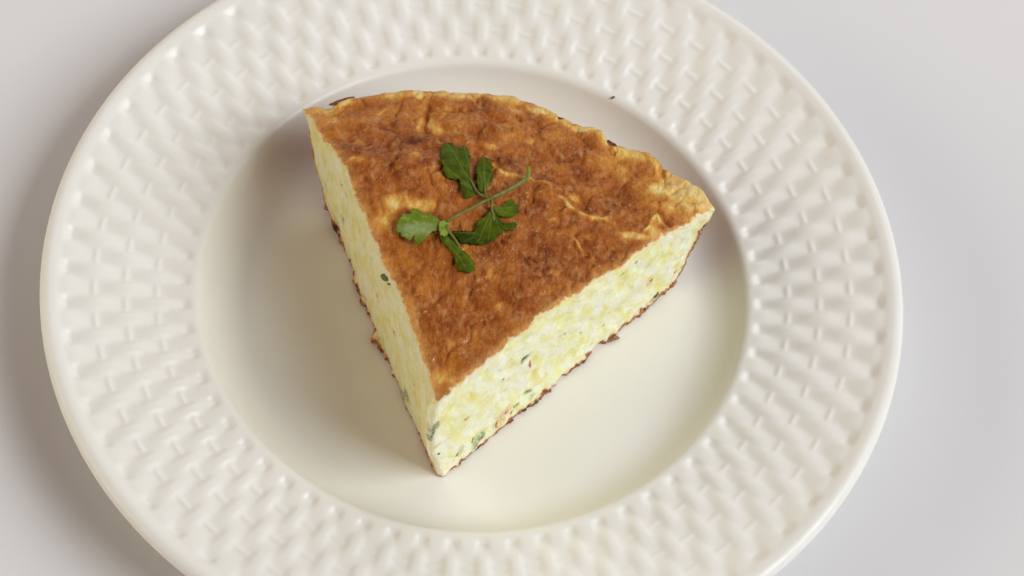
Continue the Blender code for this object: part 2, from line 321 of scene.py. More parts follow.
def top_height(reach, turn, x, y):
    """Height of the slice's top over its underside; reach is 0 at the tip and 1 at the outer edge."""
    crown = mix(*CROWN_HEIGHTS, turn)
    level = mix(*CROWN_REACHES, smooth_step(0, 1, turn))
    fallen = np.maximum(reach - level, 0) / (1 - level)
    lumps = sum(high * noise_at(columns(x / size, y / size, size), 1) for size, high in LUMPS)
    folds = sum(high * bell(from_route(x, y, route), width) for width, high, *route in FOLDS)
    fade = 1 - 0.6 * smooth_step(0.9, 1, reach)
    return mix(crown, EDGE_HEIGHT, fallen**CROWN_FALL) + fade * (lumps + folds)


def slice_top(x, y):
    """Height of the slice's top, without its fine skin."""
    dx, dy = x - TIP_X, y - TIP_Y
    turn = (np.arctan2(dy, dx) - CUT_RIGHT) / (CUT_LEFT - CUT_RIGHT)
    return BASE + top_height(np.hypot(dx, dy) / slice_radius(turn), turn, x, y)


def side_inset(share, turn):
    """How far the outer side lies inside the top edge; share is 0 at the bottom and 1 at the top."""
    foot = mix(*SIDE_FEET, turn)
    lip = SIDE_LIP * (1 - smooth_step(SIDE_STRAIGHT, 1, share))
    return lip + foot * np.maximum(1 - share / SIDE_STRAIGHT, 0) ** 1.3


def polar(turn, distance):
    angle = mix(CUT_RIGHT, CUT_LEFT, turn)
    return TIP_X + distance * np.cos(angle), TIP_Y + distance * np.sin(angle)


def round_tip(x, y, height):
    """Points near the tip moved back so that the two cuts meet in a rounded edge."""
    middle, half = (CUT_RIGHT + CUT_LEFT) / 2, (CUT_LEFT - CUT_RIGHT) / 2
    dx, dy = x - TIP_X, y - TIP_Y
    ahead = dx * cos(middle) + dy * sin(middle)
    across = np.abs(dy * cos(middle) - dx * sin(middle))
    radius = np.interp(height, TIP_HEIGHTS, TIP_RADII)
    flat = across / tan(half)
    rounded = radius / sin(half) - np.sqrt(np.maximum(radius**2 - across**2, 0))
    back = np.where(across < radius * cos(half), rounded - flat, 0)
    back = back * np.clip(1 - (ahead - flat) / (4 * radius), 0, 1)
    bulge = np.interp(height, TIP_HEIGHTS, TIP_BULGES) * (1 - smooth_step(0, TIP_REACH, np.hypot(dx, dy)))
    x = x + back * cos(middle) - bulge * cos(CUT_RIGHT)
    return x, y + back * sin(middle) - bulge * sin(CUT_RIGHT)


def cube_skin():
    """The surface of a unit cube as (u, v, w) points and faces; its bottom is one face."""
    counts = np.array((SKIN_CUTS, SKIN_CUTS, SIDE_CUTS))
    steps = np.eye(3, dtype=int)
    sheets = []
    # Each side of the cube: the direction it faces, whether it is the far one, the two directions along it
    for facing, far, first, second in ((2, 1, 0, 1), (1, 0, 0, 2), (0, 0, 2, 1), (0, 1, 1, 2), (1, 1, 2, 0)):
        i, j = np.indices((counts[first], counts[second])).reshape(2, -1, 1)
        a, b = steps[first], steps[second]
        corner = far * counts * steps[facing] + i * a + j * b
        sheets.append(np.stack([corner, corner + a, corner + a + b, corner + b], axis=1))
    points, numbers = np.unique(np.concatenate(sheets).reshape(-1, 3), axis=0, return_inverse=True)
    points = points / counts
    bottom = np.flatnonzero(points[:, 2] == 0)
    bearing = np.arctan2(points[bottom, 0] - 0.5, points[bottom, 1] - 0.5)
    return points, numbers.reshape(-1, 4).tolist() + [bottom[np.argsort(bearing)].tolist()]


# ---------------------------------------------------------------- skin of the slice

# Lines on the skin: width, height (a crease if negative), how much paler (darker if negative), then the route
# as x, y, x, y and so on. The darkening along the creases is painted shade, and the pale lines beside some
# creases are painted highlights.
SKIN_LINES = (
    (0.8, -0.8, -0.28, -20.6, 51, -20.5, 37), (1.2, 0.5, 0.22, -22.2, 52, -22.4, 38),
    (1.2, 0.3, 0.35, -24, 60, -24, 54), (0.8, -0.7, -0.25, -27.5, 29, -27, 21, -28.6, 15),
    (0.8, -0.4, -0.11, -31, 35, -26.5, 31), (1.1, -0.5, -0.11, -54, 31, -40, 31),
    (0.9, -0.35, -0.066, -34, 46, -34.5, 41, -38, 36, -39, 32),
    (1, -0.5, -0.066, -20, 47.5, -13, 48, -7, 49.6, 0, 47, 8, 44),
    (1.3, 0.5, 0.12, -19, 46.3, -12, 46.5, -6, 47.8), (0.8, -0.5, -0.14, -4, 57, -3.4, 50),
    (1.1, -0.8, -0.11, 26, 52, 27, 47, 31, 41), (1.2, -0.8, -0.11, 37.4, 48, 38, 43, 41, 39),
    (0.9, -0.5, -0.17, 26.5, 39, 26, 34, 21.5, 32), (0.8, -0.5, -0.083, 21, 38, 25, 41.5, 27, 42),
    (0.8, -0.4, -0.11, 23, 26, 26.5, 30), (1.3, -0.9, -0.14, 54, 37, 56, 32, 58.2, 27.5),
    (0.9, -0.8, -0.22, 55, 18.5, 56, 15.5, 57.6, 13.2), (0.6, -0.35, -0.19, 0, -20, 0, -27, -1.5, -34),
    (0.7, 0.2, 0.25, -1.2, -28, -2.4, -34), (0.8, 0.35, 0.25, 13.6, 14, 13.4, 7.5),
    (1.3, -0.6, -0.083, 28.5, 9.3, 37, 8.8),
    (1, 0.75, 0.52, 2, 23.5, 5.5, 20.6, 12.5, 21, 19.5, 20, 23.5, 18.6),
    (0.95, 0.85, 0.56, 24, 15.4, 27, 12, 30, 10.4, 34, 10.2, 38, 11),
    (0.8, 0.5, 0.34, 27, 12, 23.5, 8, 20.5, 5), (1.7, 0.5, 0, 27.3, 17, 27.9, 17.2),
    (0.8, 0.9, 0.4, 50.3, 8, 52.2, 11.5, 54.2, 16.3, 55.5, 13.5, 57.3, 11.8),
    (1.3, 0.4, 0.3, 43, 5.2, 46.5, 6.5, 50, 5.2, 53.5, 4.8), (0.7, 0.7, 0.55, 29, 0.3, 30.6, -2, 32, -5.6),
    (1.6, 0.9, 0.4, 66, 32.5, 68.2, 28.5, 66.8, 24, 64, 20.8), (1.2, 0.7, 0.15, 59, 38, 62, 33, 63, 28),
    (1.3, 0.8, 0.1, 47.5, 44, 50.5, 39, 54, 32.5, 56.5, 27.5), (0.9, -0.3, -0.066, -8, -30, -13, -33),
    (0.6, 0.5, -0.25, -51.5, 46.3, -48.5, 48.8, -43.5, 50.6),
    (0.7, 0.5, 0.2, -40, 6, -37, 9.5, -34, 12, -30, 15.5),
    (0.8, -0.5, -0.1, -28, 17.5, -26.5, 24.5, -23, 31.5, -16.5, 34.5), (0.7, 0.45, 0.2, -44, 13.5, -40.5, 17),
    (0.7, 0.5, 0.2, -39.5, 31, -38.5, 34, -36, 40, -34, 46),
    (1.3, -0.6, -0.07, -48, 23, -42.5, 31, -34, 34.5, -27.5, 33.5, -20, 37),
    # The short pale dashes from -12.6, -33 and from -8.8, -42.5 are painted glints, and the pale line from
    # 36.5, 32 is a ridge with a painted sheen
    (0.6, -0.5, -0.2, -17.5, 14, -15.5, 9.5), (0.5, 0.3, 0.18, -12.6, -33, -13.2, -36),
    (0.5, 0.3, 0.2, -8.8, -42.5, -9.4, -45.5), (1.4, 0.5, 0.08, 36.5, 32, 41, 33.5, 45, 37.5),
    (0.8, 0.3, 0.3, 34.5, -4.5, 36, -8),
)
# Patches of the skin: middle, half length, half width, turn in degrees, how much paler; two pale spots are
# painted highlights and two dark patches are the sprig's painted shadow
SKIN_PATCHES = (
    (-17.4, 1.8, 5, 2.9, 8, 0.42), (-24, 2, 5.5, 3.2, 0, 0.32), (-28, -1.5, 4.2, 4.8, 0, 0.32),
    (-30, -7, 3.4, 3.6, 0, 0.24), (27.8, 17.3, 2.4, 2.3, 0, 0.42), (54.2, 8.6, 2.8, 3, -20, 0.5),
    (54, 13.2, 1.6, 3, -15, 0.36), (47.5, 5.5, 4.5, 1.6, 0, 0.3), (64.6, 28.5, 10, 6.4, -42, 0.46),
    (69, 25, 4, 4, 0, 0.4), (55, 24.5, 10, 8, -42, 0.36), (62, 19.5, 6, 4, -42, 0.2),
    # 54.3, 28 is a painted highlight
    (54.3, 28, 3.6, 2.8, 0, 0.25), (-40, 26, 2.4, 2.8, 0, 0.28), (-39.5, 16, 3, 1.8, 0, 0.3),
    (-22, 22, 2.2, 3, 0, 0.28), (1, 32, 2.4, 1.6, 0, 0.32), (12.5, 38, 1.8, 2, 0, 0.3),
    (7, 51.5, 3, 1.6, 0, 0.3), (-16.5, 36, 2.4, 2.6, 0, 0.34), (-19, 41, 1.3, 3, 0, 0.25),
    (-24.5, 57, 1.6, 4, 0, 0.3), (-48, 49.5, 3.6, 1.5, 25, 0.25), (13, 53.2, 3, 2, -20, 0.3),
    # -14, 49.5 is a painted glint
    (30, 50, 4, 2, 0, 0.3), (-14, 49.5, 1.6, 1.4, 0, 0.25), (5.5, -20, 1.6, 3.4, 20, 0.3),
    (8.5, -32, 1.2, 1.8, 0, 0.36), (2, -43, 1.4, 3, 0, 0.25), (-4, -46, 1.3, 1.2, 0, 0.3),
    (-6, -58, 1.8, 2.4, 0, 0.24), (24.5, -15.5, 1.7, 1.6, 0, 0.36), (35.6, -11, 1.4, 2.4, 0, 0.3),
    (34, 2, 1.8, 1.4, 0, 0.25), (-46, 42, 11, 8, 0, 0.2), (-50, 30, 4, 4, 0, 0.14), (-16, 40, 13, 5, 0, 0.15),
    (-32, 46, 9, 8, 0, 0.14), (40, 34, 9, 7, 0, 0.08), (-17, -24, 4, 12, 25, 0.1),
    (-11, -47, 2.5, 9, 27, 0.12), (19, -14, 6, 12, -10, -0.2), (7, 27, 4, 3, 0, -0.22),
    (-8, 12, 7, 5, 0, -0.1), (-6, 33, 4, 4, 0, -0.1), (33, 14, 3.4, 2.5, 0, -0.14), (18, 10, 2, 2.6, 0, -0.2),
    (-24, 30, 6, 4, 0, -0.15), (-46, 25, 4, 5, 0, -0.06), (28, 33, 3, 5, 0, -0.14), (1, -41, 7, 9, -15, 0.1),
    # -17, -15 and -11.6, 8 are painted shadows of the sprig's leaves
    (-17, -15, 4, 3.4, 0, -0.2), (-11.6, 8, 3, 3, 0, -0.12), (17, -11, 7, 7, 0, -0.06),
    (-2, -57, 5, 8, 30, 0.12), (-18.5, -34, 2.6, 6, 25, 0.14),
)


def skin_lines(x, y):
    """Height of the skin's lines, and how much paler they are."""
    high, pale = np.zeros_like(x), np.zeros_like(x)
    drift = 0.8 * noise_at(columns(x, y, 0), 4, 17)
    for width, line_high, line_pale, *route in SKIN_LINES:
        share = bell(from_route(x + drift, y - drift, route), width)
        high += line_high * share
        pale += line_pale * share
    return high, pale


def skin_relief(x, y):
    """Pebbles, wrinkles and fibres of the browned skin."""
    points = columns(x, y, 0)
    pebbles = layered(points, (0.62, 5.5, 3), (0.24, 2.4, 7), (0.08, 1.2, 13))
    wrinkles = -0.8 * bell(layered(points, (1, 15, 21), (0.35, 5, 5)), 0.11)
    fibres = -0.36 * bell(noise_at(points * (1, 0.42, 1), 3.6, 31), 0.18)
    return pebbles + wrinkles + fibres * smooth_step(-0.2, 0.3, noise_at(points, 13, 33))


def brownness(x, y, reach, line_pale):
    """How browned the skin is, 0 pale to 1 dark."""
    points = columns(x, y, 0)
    lively = 0.7 + 0.3 * smooth_step(-42, -8, y)
    value = 0.68 + 0.13 * noise_at(points, 24, 4) - 0.07 * smooth_step(27, 34, y)
    value = value + lively * layered(points, (0.24, 9, 6), (0.11, 3.4, 9))
    wobble = 1 + 0.3 * noise_at(points, 4, 12)
    for *patch, strength in SKIN_PATCHES:
        value = value - strength * smooth_step(0.05, 0.95, patch_mask(x, y, *patch) * wobble)
    value = value - line_pale * (0.8 + 0.7 * noise_at(points, 2.2, 41))
    rim = smooth_step(0.945, 0.985, reach + 0.014 * noise_at(points, 7, 15))
    return np.clip(value - 0.4 * rim, 0, 1)


# ---------------------------------------------------------------- the two cuts

CRAG_SIZE = 9
CRAG_DEPTH = 0.7
CURD_LEAN = radians(25)
RELIEF_REACH = 4  # how far from a cut its relief fades into the slice
FOOT_CRUST = 0.75  # height of the thin crust at the foot
SIDE_CRUST = 1.4
PORE_COUNT = 520
PORE_FIELD = (124, 53)
# Browned crust at a cut's foot: place along it, half length, height, how far it stands out
RIGHT_BITS = (
    (3, 3, 0.6, 0.3), (10, 3, 0.5, 0.3), (19, 2.4, 0.9, 0.5), (30.6, 1, 1.4, 0.4), (35, 1.2, 1, 0.3),
    (45.5, 6, 0.8, 1), (61.5, 6, 1.4, 0.9), (75, 4, 0.9, 1), (87, 6, 1.2, 0.7), (101, 6, 1.3, 0.7),
)
LEFT_BITS = (
    (104, 1.6, 2.4, 0.5), (98, 2.4, 3.8, 0.9), (92.5, 2.2, 3, 1), (74, 4.4, 1.4, 0.7), (67.5, 1.5, 2.2, 1.4),
    (63.5, 1.2, 1.4, 0.8), (54, 2.6, 2.2, 2.2), (49.5, 1.6, 1.8, 1.5), (46.2, 1.1, 1.2, 1.8),
    (39.4, 0.7, 1, 0.9), (10, 5, 0.6, 0.2),
)
# Where the bottom crust has come away: place along the cut, half length, height, depth
RIGHT_HOLLOWS = ((69.5, 2.2, 2.4, 1.2), (53, 1.6, 2, 0.8))
LEFT_HOLLOWS = ((92, 12, 9, 1.2),)
# A cut's way is the side that faces out, its stretch lengthens the crumbs along it, its strength is the
# roughness of its crumb, and its lip is how far the browned top hangs over it
Cut = namedtuple("Cut", "angle way stretch strength seed lip bits hollows")
CUTS = (
    Cut(CUT_RIGHT, 1, 0.85, 0.7, 31, 0.05, RIGHT_BITS, RIGHT_HOLLOWS),
    Cut(CUT_LEFT, -1, 1.4, 0.55, 57, 0.45, LEFT_BITS, LEFT_HOLLOWS),
)
# Soft spots of colour in the right cut, then in the left cut: place along it and up it, half length and half
# width, turn in degrees, strength
STAINS = {
    "yolk": (
        ((4.2, 39, 1.5, 2.4, 0, 1.1), (7.5, 42, 1.6, 2, 0, 0.9), (13.5, 37, 4.5, 4, 30, 0.75),
         (18, 26, 6.5, 7, 30, 0.5), (39.6, 19, 1.5, 3.4, 10, 1.1), (44, 10.5, 3.4, 2.6, 0, 0.7),
         (72, 31, 1.6, 2.4, 0, 0.7), (77, 31.5, 2.4, 5, -15, 1.1), (75, 15, 6, 4, 30, 0.55),
         (55, 12, 5, 3, 20, 0.45), (60, 33, 4, 3, 0, 0.4), (95, 25, 4, 3, 0, 0.4), (28, 22, 3, 6, 20, 0.35)),
        ((5, 30, 2.6, 6, 20, 1), (20, 22, 9, 8, 60, 0.6), (38, 15, 5, 9, 10, 0.4),
         (23.5, 20, 1.6, 1.8, 0, 0.9), (60, 30, 6, 5, 40, 0.35), (75, 14, 5, 5, 0, 0.35)),
    ),
    "white": (
        ((2, 13, 3, 5.5, 0, 0.72), (23.5, 43, 2.2, 8, 10, 0.64), (47, 12.5, 3, 6, 30, 0.64),
         (85, 15, 5.5, 6, 20, 0.72), (111, 30, 6, 2, 0, 0.56), (55, 43, 8, 4, 0, 0.48),
         (34, 42, 6, 5, 0, 0.48), (66, 22, 4, 4, 0, 0.32)),
        ((14, 40, 5, 5, 0, 0.4), (66, 38, 8, 5, 0, 0.32), (45, 28, 5, 7, 0, 0.28), (32, 41, 17, 5, 0, 0.6)),
    ),
    "peach": (
        ((27, 7, 3.6, 6, -25, 0.95), (90.6, 17, 1.5, 3, 0, 1), (37.3, 27, 1.1, 3, 10, 1),
         (12.4, 26.5, 1.3, 1.1, 0, 0.9), (3, 24, 2.5, 2, 0, 0.5), (104, 7, 2, 1, 0, 0.7)),
        ((10, 2.2, 11, 1.8, 0, 0.7), (87, 36, 3, 3.5, -60, 0.5), (57, 20, 2.5, 2, 0, 0.6),
         (41, 23, 2, 2, 0, 0.6), (93, 8, 9, 3.5, 0, 0.6)),
    ),
    "herb": (
        ((34.8, 34, 2.6, 1.9, 25, 0.85), (9.5, 9, 1.5, 3.4, -20, 0.5), (16.5, 6, 3.2, 4.4, -20, 0.75),
         (18.4, 4.8, 1.6, 2.4, -30, 1.1), (38, 9.4, 1.8, 1.4, 0, 0.9), (39.4, 6, 1.8, 3, 0, 0.6),
         (33.4, 7, 1.3, 1.5, 0, 0.7), (89.5, 29, 2.6, 2.8, 0, 0.4), (76, 36.6, 1.2, 1.1, 0, 0.9),
         (94.5, 2.4, 2.4, 1.8, 0, 1), (51, 17, 1.5, 2, 0, 0.35), (66, 7, 1.6, 2, 0, 0.35),
         (1.6, 36.5, 1.6, 4.6, -20, 1.1), (0.2, 31, 1.2, 2.6, -20, 1)),
        ((28.4, 6, 3.6, 2.2, -60, 0.9), (88, 17, 3.6, 3, -60, 0.6), (105, 14, 3, 3, 0, 0.35)),
    ),
}


def cut_place(x, y, cut):
    """Distance along a cut from the tip, and distance from the cut into the slice."""
    dx, dy = x - TIP_X, y - TIP_Y
    c, s = cos(cut.angle), sin(cut.angle)
    return dx * c + dy * s, cut.way * (dy * c - dx * s)


def outwards(x, y, cut, amount):
    """Places moved out of a cut's face."""
    return x + cut.way * amount * sin(cut.angle), y - cut.way * amount * cos(cut.angle)


def foot_bits(along, cut):
    """Height of the crust's bits along a cut's foot, and how far they stand out."""
    high, out = np.zeros_like(along), np.zeros_like(along)
    for place, long, bit_high, bit_out in cut.bits:
        share = bell(along - place, long, 4)
        high += bit_high * share
        out += bit_out * share
    return high, out


def hollows(along, height, cut):
    """Depth of the places at a cut's foot where the bottom crust has come away."""
    return sum(
        deep * bell(along - place, long, 4) * (1 - smooth_step(0.2 * high, high, height))
        for place, long, high, deep in cut.hollows
    )


def pores(along, height, seed):
    """Pits in a cut face at random places: their depth at each (along, height)."""
    draw = random.Random(seed)
    depth = np.zeros_like(along)
    for _ in range(PORE_COUNT):
        radius = mix(0.45, 1.6, draw.random() ** 2.5)
        place, level = draw.random() * PORE_FIELD[0], draw.random() * PORE_FIELD[1]
        stretch = mix(1, 2.2, draw.random())
        near = np.abs(along - place) < radius * stretch
        away = ((along[near] - place) / (radius * stretch)) ** 2 + ((height[near] - level) / radius) ** 2
        depth[near] = np.maximum(depth[near], 0.6 * radius * np.maximum(1 - away, 0) ** 1.5)
    return depth


def cut_relief(x, y, along, height, top, cut):
    """How far a cut face stands out: crags, crumbs and pores, and the ragged crust at its two edges."""
    seed = cut.seed
    crags = CRAG_DEPTH * noise_at(columns(x, y, height), CRAG_SIZE)
    across = along * cos(CURD_LEAN) + height * sin(CURD_LEAN)
    upright = height * cos(CURD_LEAN) - along * sin(CURD_LEAN)
    face = columns(across / cut.stretch, upright / 1.6, seed)
    crumb = layered(face, (0.6, 3.8, seed), (0.2, 1.8, seed + 9))
    line = columns(along, 0, 0)
    ragged = layered(line, (1, 3.2, seed + 2), (0.7, 1.3, seed + 4))
    bits_high, bits_out = foot_bits(along, cut)
    crust = FOOT_CRUST + bits_high
    foot = np.maximum(0.1 + 0.6 * ragged, 0) + bits_out * (0.7 + 0.6 * ragged)
    foot = foot * (1 - smooth_step(0.7 * crust, 1.4 * crust, height))
    lip = cut.lip + 0.5 * ragged + 0.8 * noise_at(line, 6, seed + 6)
    lip = lip * (1 - smooth_step(0.6, 2.4, top - height))
    body = cut.strength * smooth_step(0, 2.5, height) * smooth_step(0, 1.5, top - height)
    return crags + foot + lip + body * (crumb - pores(along, height, seed)) - hollows(along, height, cut)


def stain(spots, along, height):
    """The strongest of some soft spots at each place."""
    return np.max([strength * patch_mask(along, height, *spot) for *spot, strength in spots], axis=0)


def slice_part():
    """The slice: a cube's surface bent into a wedge, with u along the right cut and v along the left cut."""
    unit, faces = cube_skin()
    u, v, w = unit.T
    reach = np.maximum(u, v)
    whole = np.where(reach > 0, reach, 1)
    turn = np.where(reach > 0, np.where(u >= v, v / (2 * whole), 1 - u / (2 * whole)), 0.5)
    radius = slice_radius(turn)
    from_tip = reach * radius
    top_x, top_y = polar(turn, from_tip)
    from_cut = np.maximum(np.minimum(*[cut_place(top_x, top_y, cut)[1] for cut in CUTS]), 0)
    line_high, line_pale = skin_lines(top_x, top_y)
    fine = (skin_relief(top_x, top_y) + line_high) * smooth_step(-1.5, 2, from_cut)
    rounding = 0.6 * bell(from_cut, 1.1) + 0.5 * smooth_step(0.985, 1, reach)
    top = top_height(reach, turn, top_x, top_y) + fine - rounding
    height = w * top
    wave = sum(out * bell(turn - place, width) for place, width, out in EDGE_WAVES)
    wave = wave * smooth_step(0.85, 1, reach) * w
    x, y = polar(turn, reach * (radius - side_inset(w, turn)) + wave)
    is_top = w == 1
    is_cut = (np.minimum(u, v) == 0) & ~is_top
    is_side = (reach == 1) & ~is_cut & ~is_top

    moved_x, moved_y = x.copy(), y.copy()
    stains = {kind: np.zeros_like(x) for kind in STAINS}
    crust = np.full_like(x, FOOT_CRUST)
    for number, cut in enumerate(CUTS):
        along, inwards = cut_place(x, y, cut)
        near = inwards < RELIEF_REACH
        along, inwards, up = along[near], inwards[near], height[near]
        for kind, share in stains.items():
            here = stain(STAINS[kind][number], along, up) * (1 - smooth_step(1, RELIEF_REACH, inwards))
            share[near] = np.maximum(share[near], here)
        line = columns(along, 0, cut.seed)
        crust[near] *= 1 + layered(line, (1.3, 4, 3), (0.5, 1.5, 8))
        crust[near] += foot_bits(along, cut)[0]
        relief = cut_relief(x[near], y[near], along, up, top[near], cut)
        relief = relief * (1 - smooth_step(0, RELIEF_REACH, inwards)) * smooth_step(0, RELIEF_REACH, along)
        moved_x[near], moved_y[near] = outwards(moved_x[near], moved_y[near], cut, relief)
    points = columns(x, y, height)[is_side]
    dimple = layered(points, (0.5, 6, 2), (0.22, 2.4, 8)) - 0.4
    dimple = dimple * smooth_step(0, 0.15, w[is_side]) * (1 - smooth_step(0.9, 1, w[is_side]))
    angle = mix(CUT_RIGHT, CUT_LEFT, turn[is_side])
    moved_x[is_side] += dimple * np.cos(angle)
    moved_y[is_side] += dimple * np.sin(angle)
    to_side = (1 - reach) * radius + 20 * smooth_step(0.84, 0.97, w)
    edge = from_cut + 0.45 * (turn > 0.5) + 0.9 * bell(from_tip, 4)
    return columns(*round_tip(moved_x, moved_y, height), height + BASE), faces, {
        "brown": brownness(top_x, top_y, reach, line_pale),
        "edge": np.select([is_cut, is_side], [0, 9], edge),
        "rind": np.minimum(height - crust, to_side - SIDE_CRUST),
        # 0 on the right cut, rising into the left cut: how much painted shade the left cut's crumb gets
        "shaded": np.where(turn < 0.5, 0, smooth_step(0, 6, from_tip)),
        "depth": top - height,
        "side": is_side,
        **stains,
    }


# ---------------------------------------------------------------- sprig

SPRIG_TOP = 62
SPRIG_EASE = 0.25  # how softly the sprig bends under that height
LEAF_THICKNESS = 0.3
LEAF_RINGS = 12
LEAF_SIDES = 180
STEM_RINGS = 48
STEM_SIDES = 12

# Radius at a stem's start and at its end, then its route's places as x, y and height over the skin
STEMS = {
    "stalk": (
        0.78, 0.42, 13.1, 23.4, 3, 13.2, 20.5, 2.6, 12.6, 18.3, 2.3, 9.1, 14.2, 2, 6.2, 10.5, 2, 2.2, 5.5, 2,
        -1.4, 1.7, 1.9, -6, -1.9, 1.9, -9.5, -5.1, 2.1,
    ),
    "petiole_front": (
        0.5, 0.25, -9.3, -6.4, 2.2, -9, -8, 2, -7.6, -9.7, 1.8, -5.8, -11.9, 1.5, -4.8, -13.6, 1.2,
    ),
    "petiole_back": (0.5, 0.2, 2.3, 5.8, 2, 0.3, 6.2, 1.9, -1.2, 7, 1.8, -2.7, 9.5, 1.6, -4.5, 13.3, 1.4),
    "petiole_middle": (0.32, 0.15, 1.9, 6, 1.9, 1, 7.1, 1.8, 0.5, 9.8, 1.6, 0.2, 13.3, 1.4),
    "petiole_right": (0.5, 0.25, 2.8, 5.6, 2, 3.1, 3.6, 1.8, 3.5, 1.3, 1.6, 4.4, -2.1, 1.3),
}
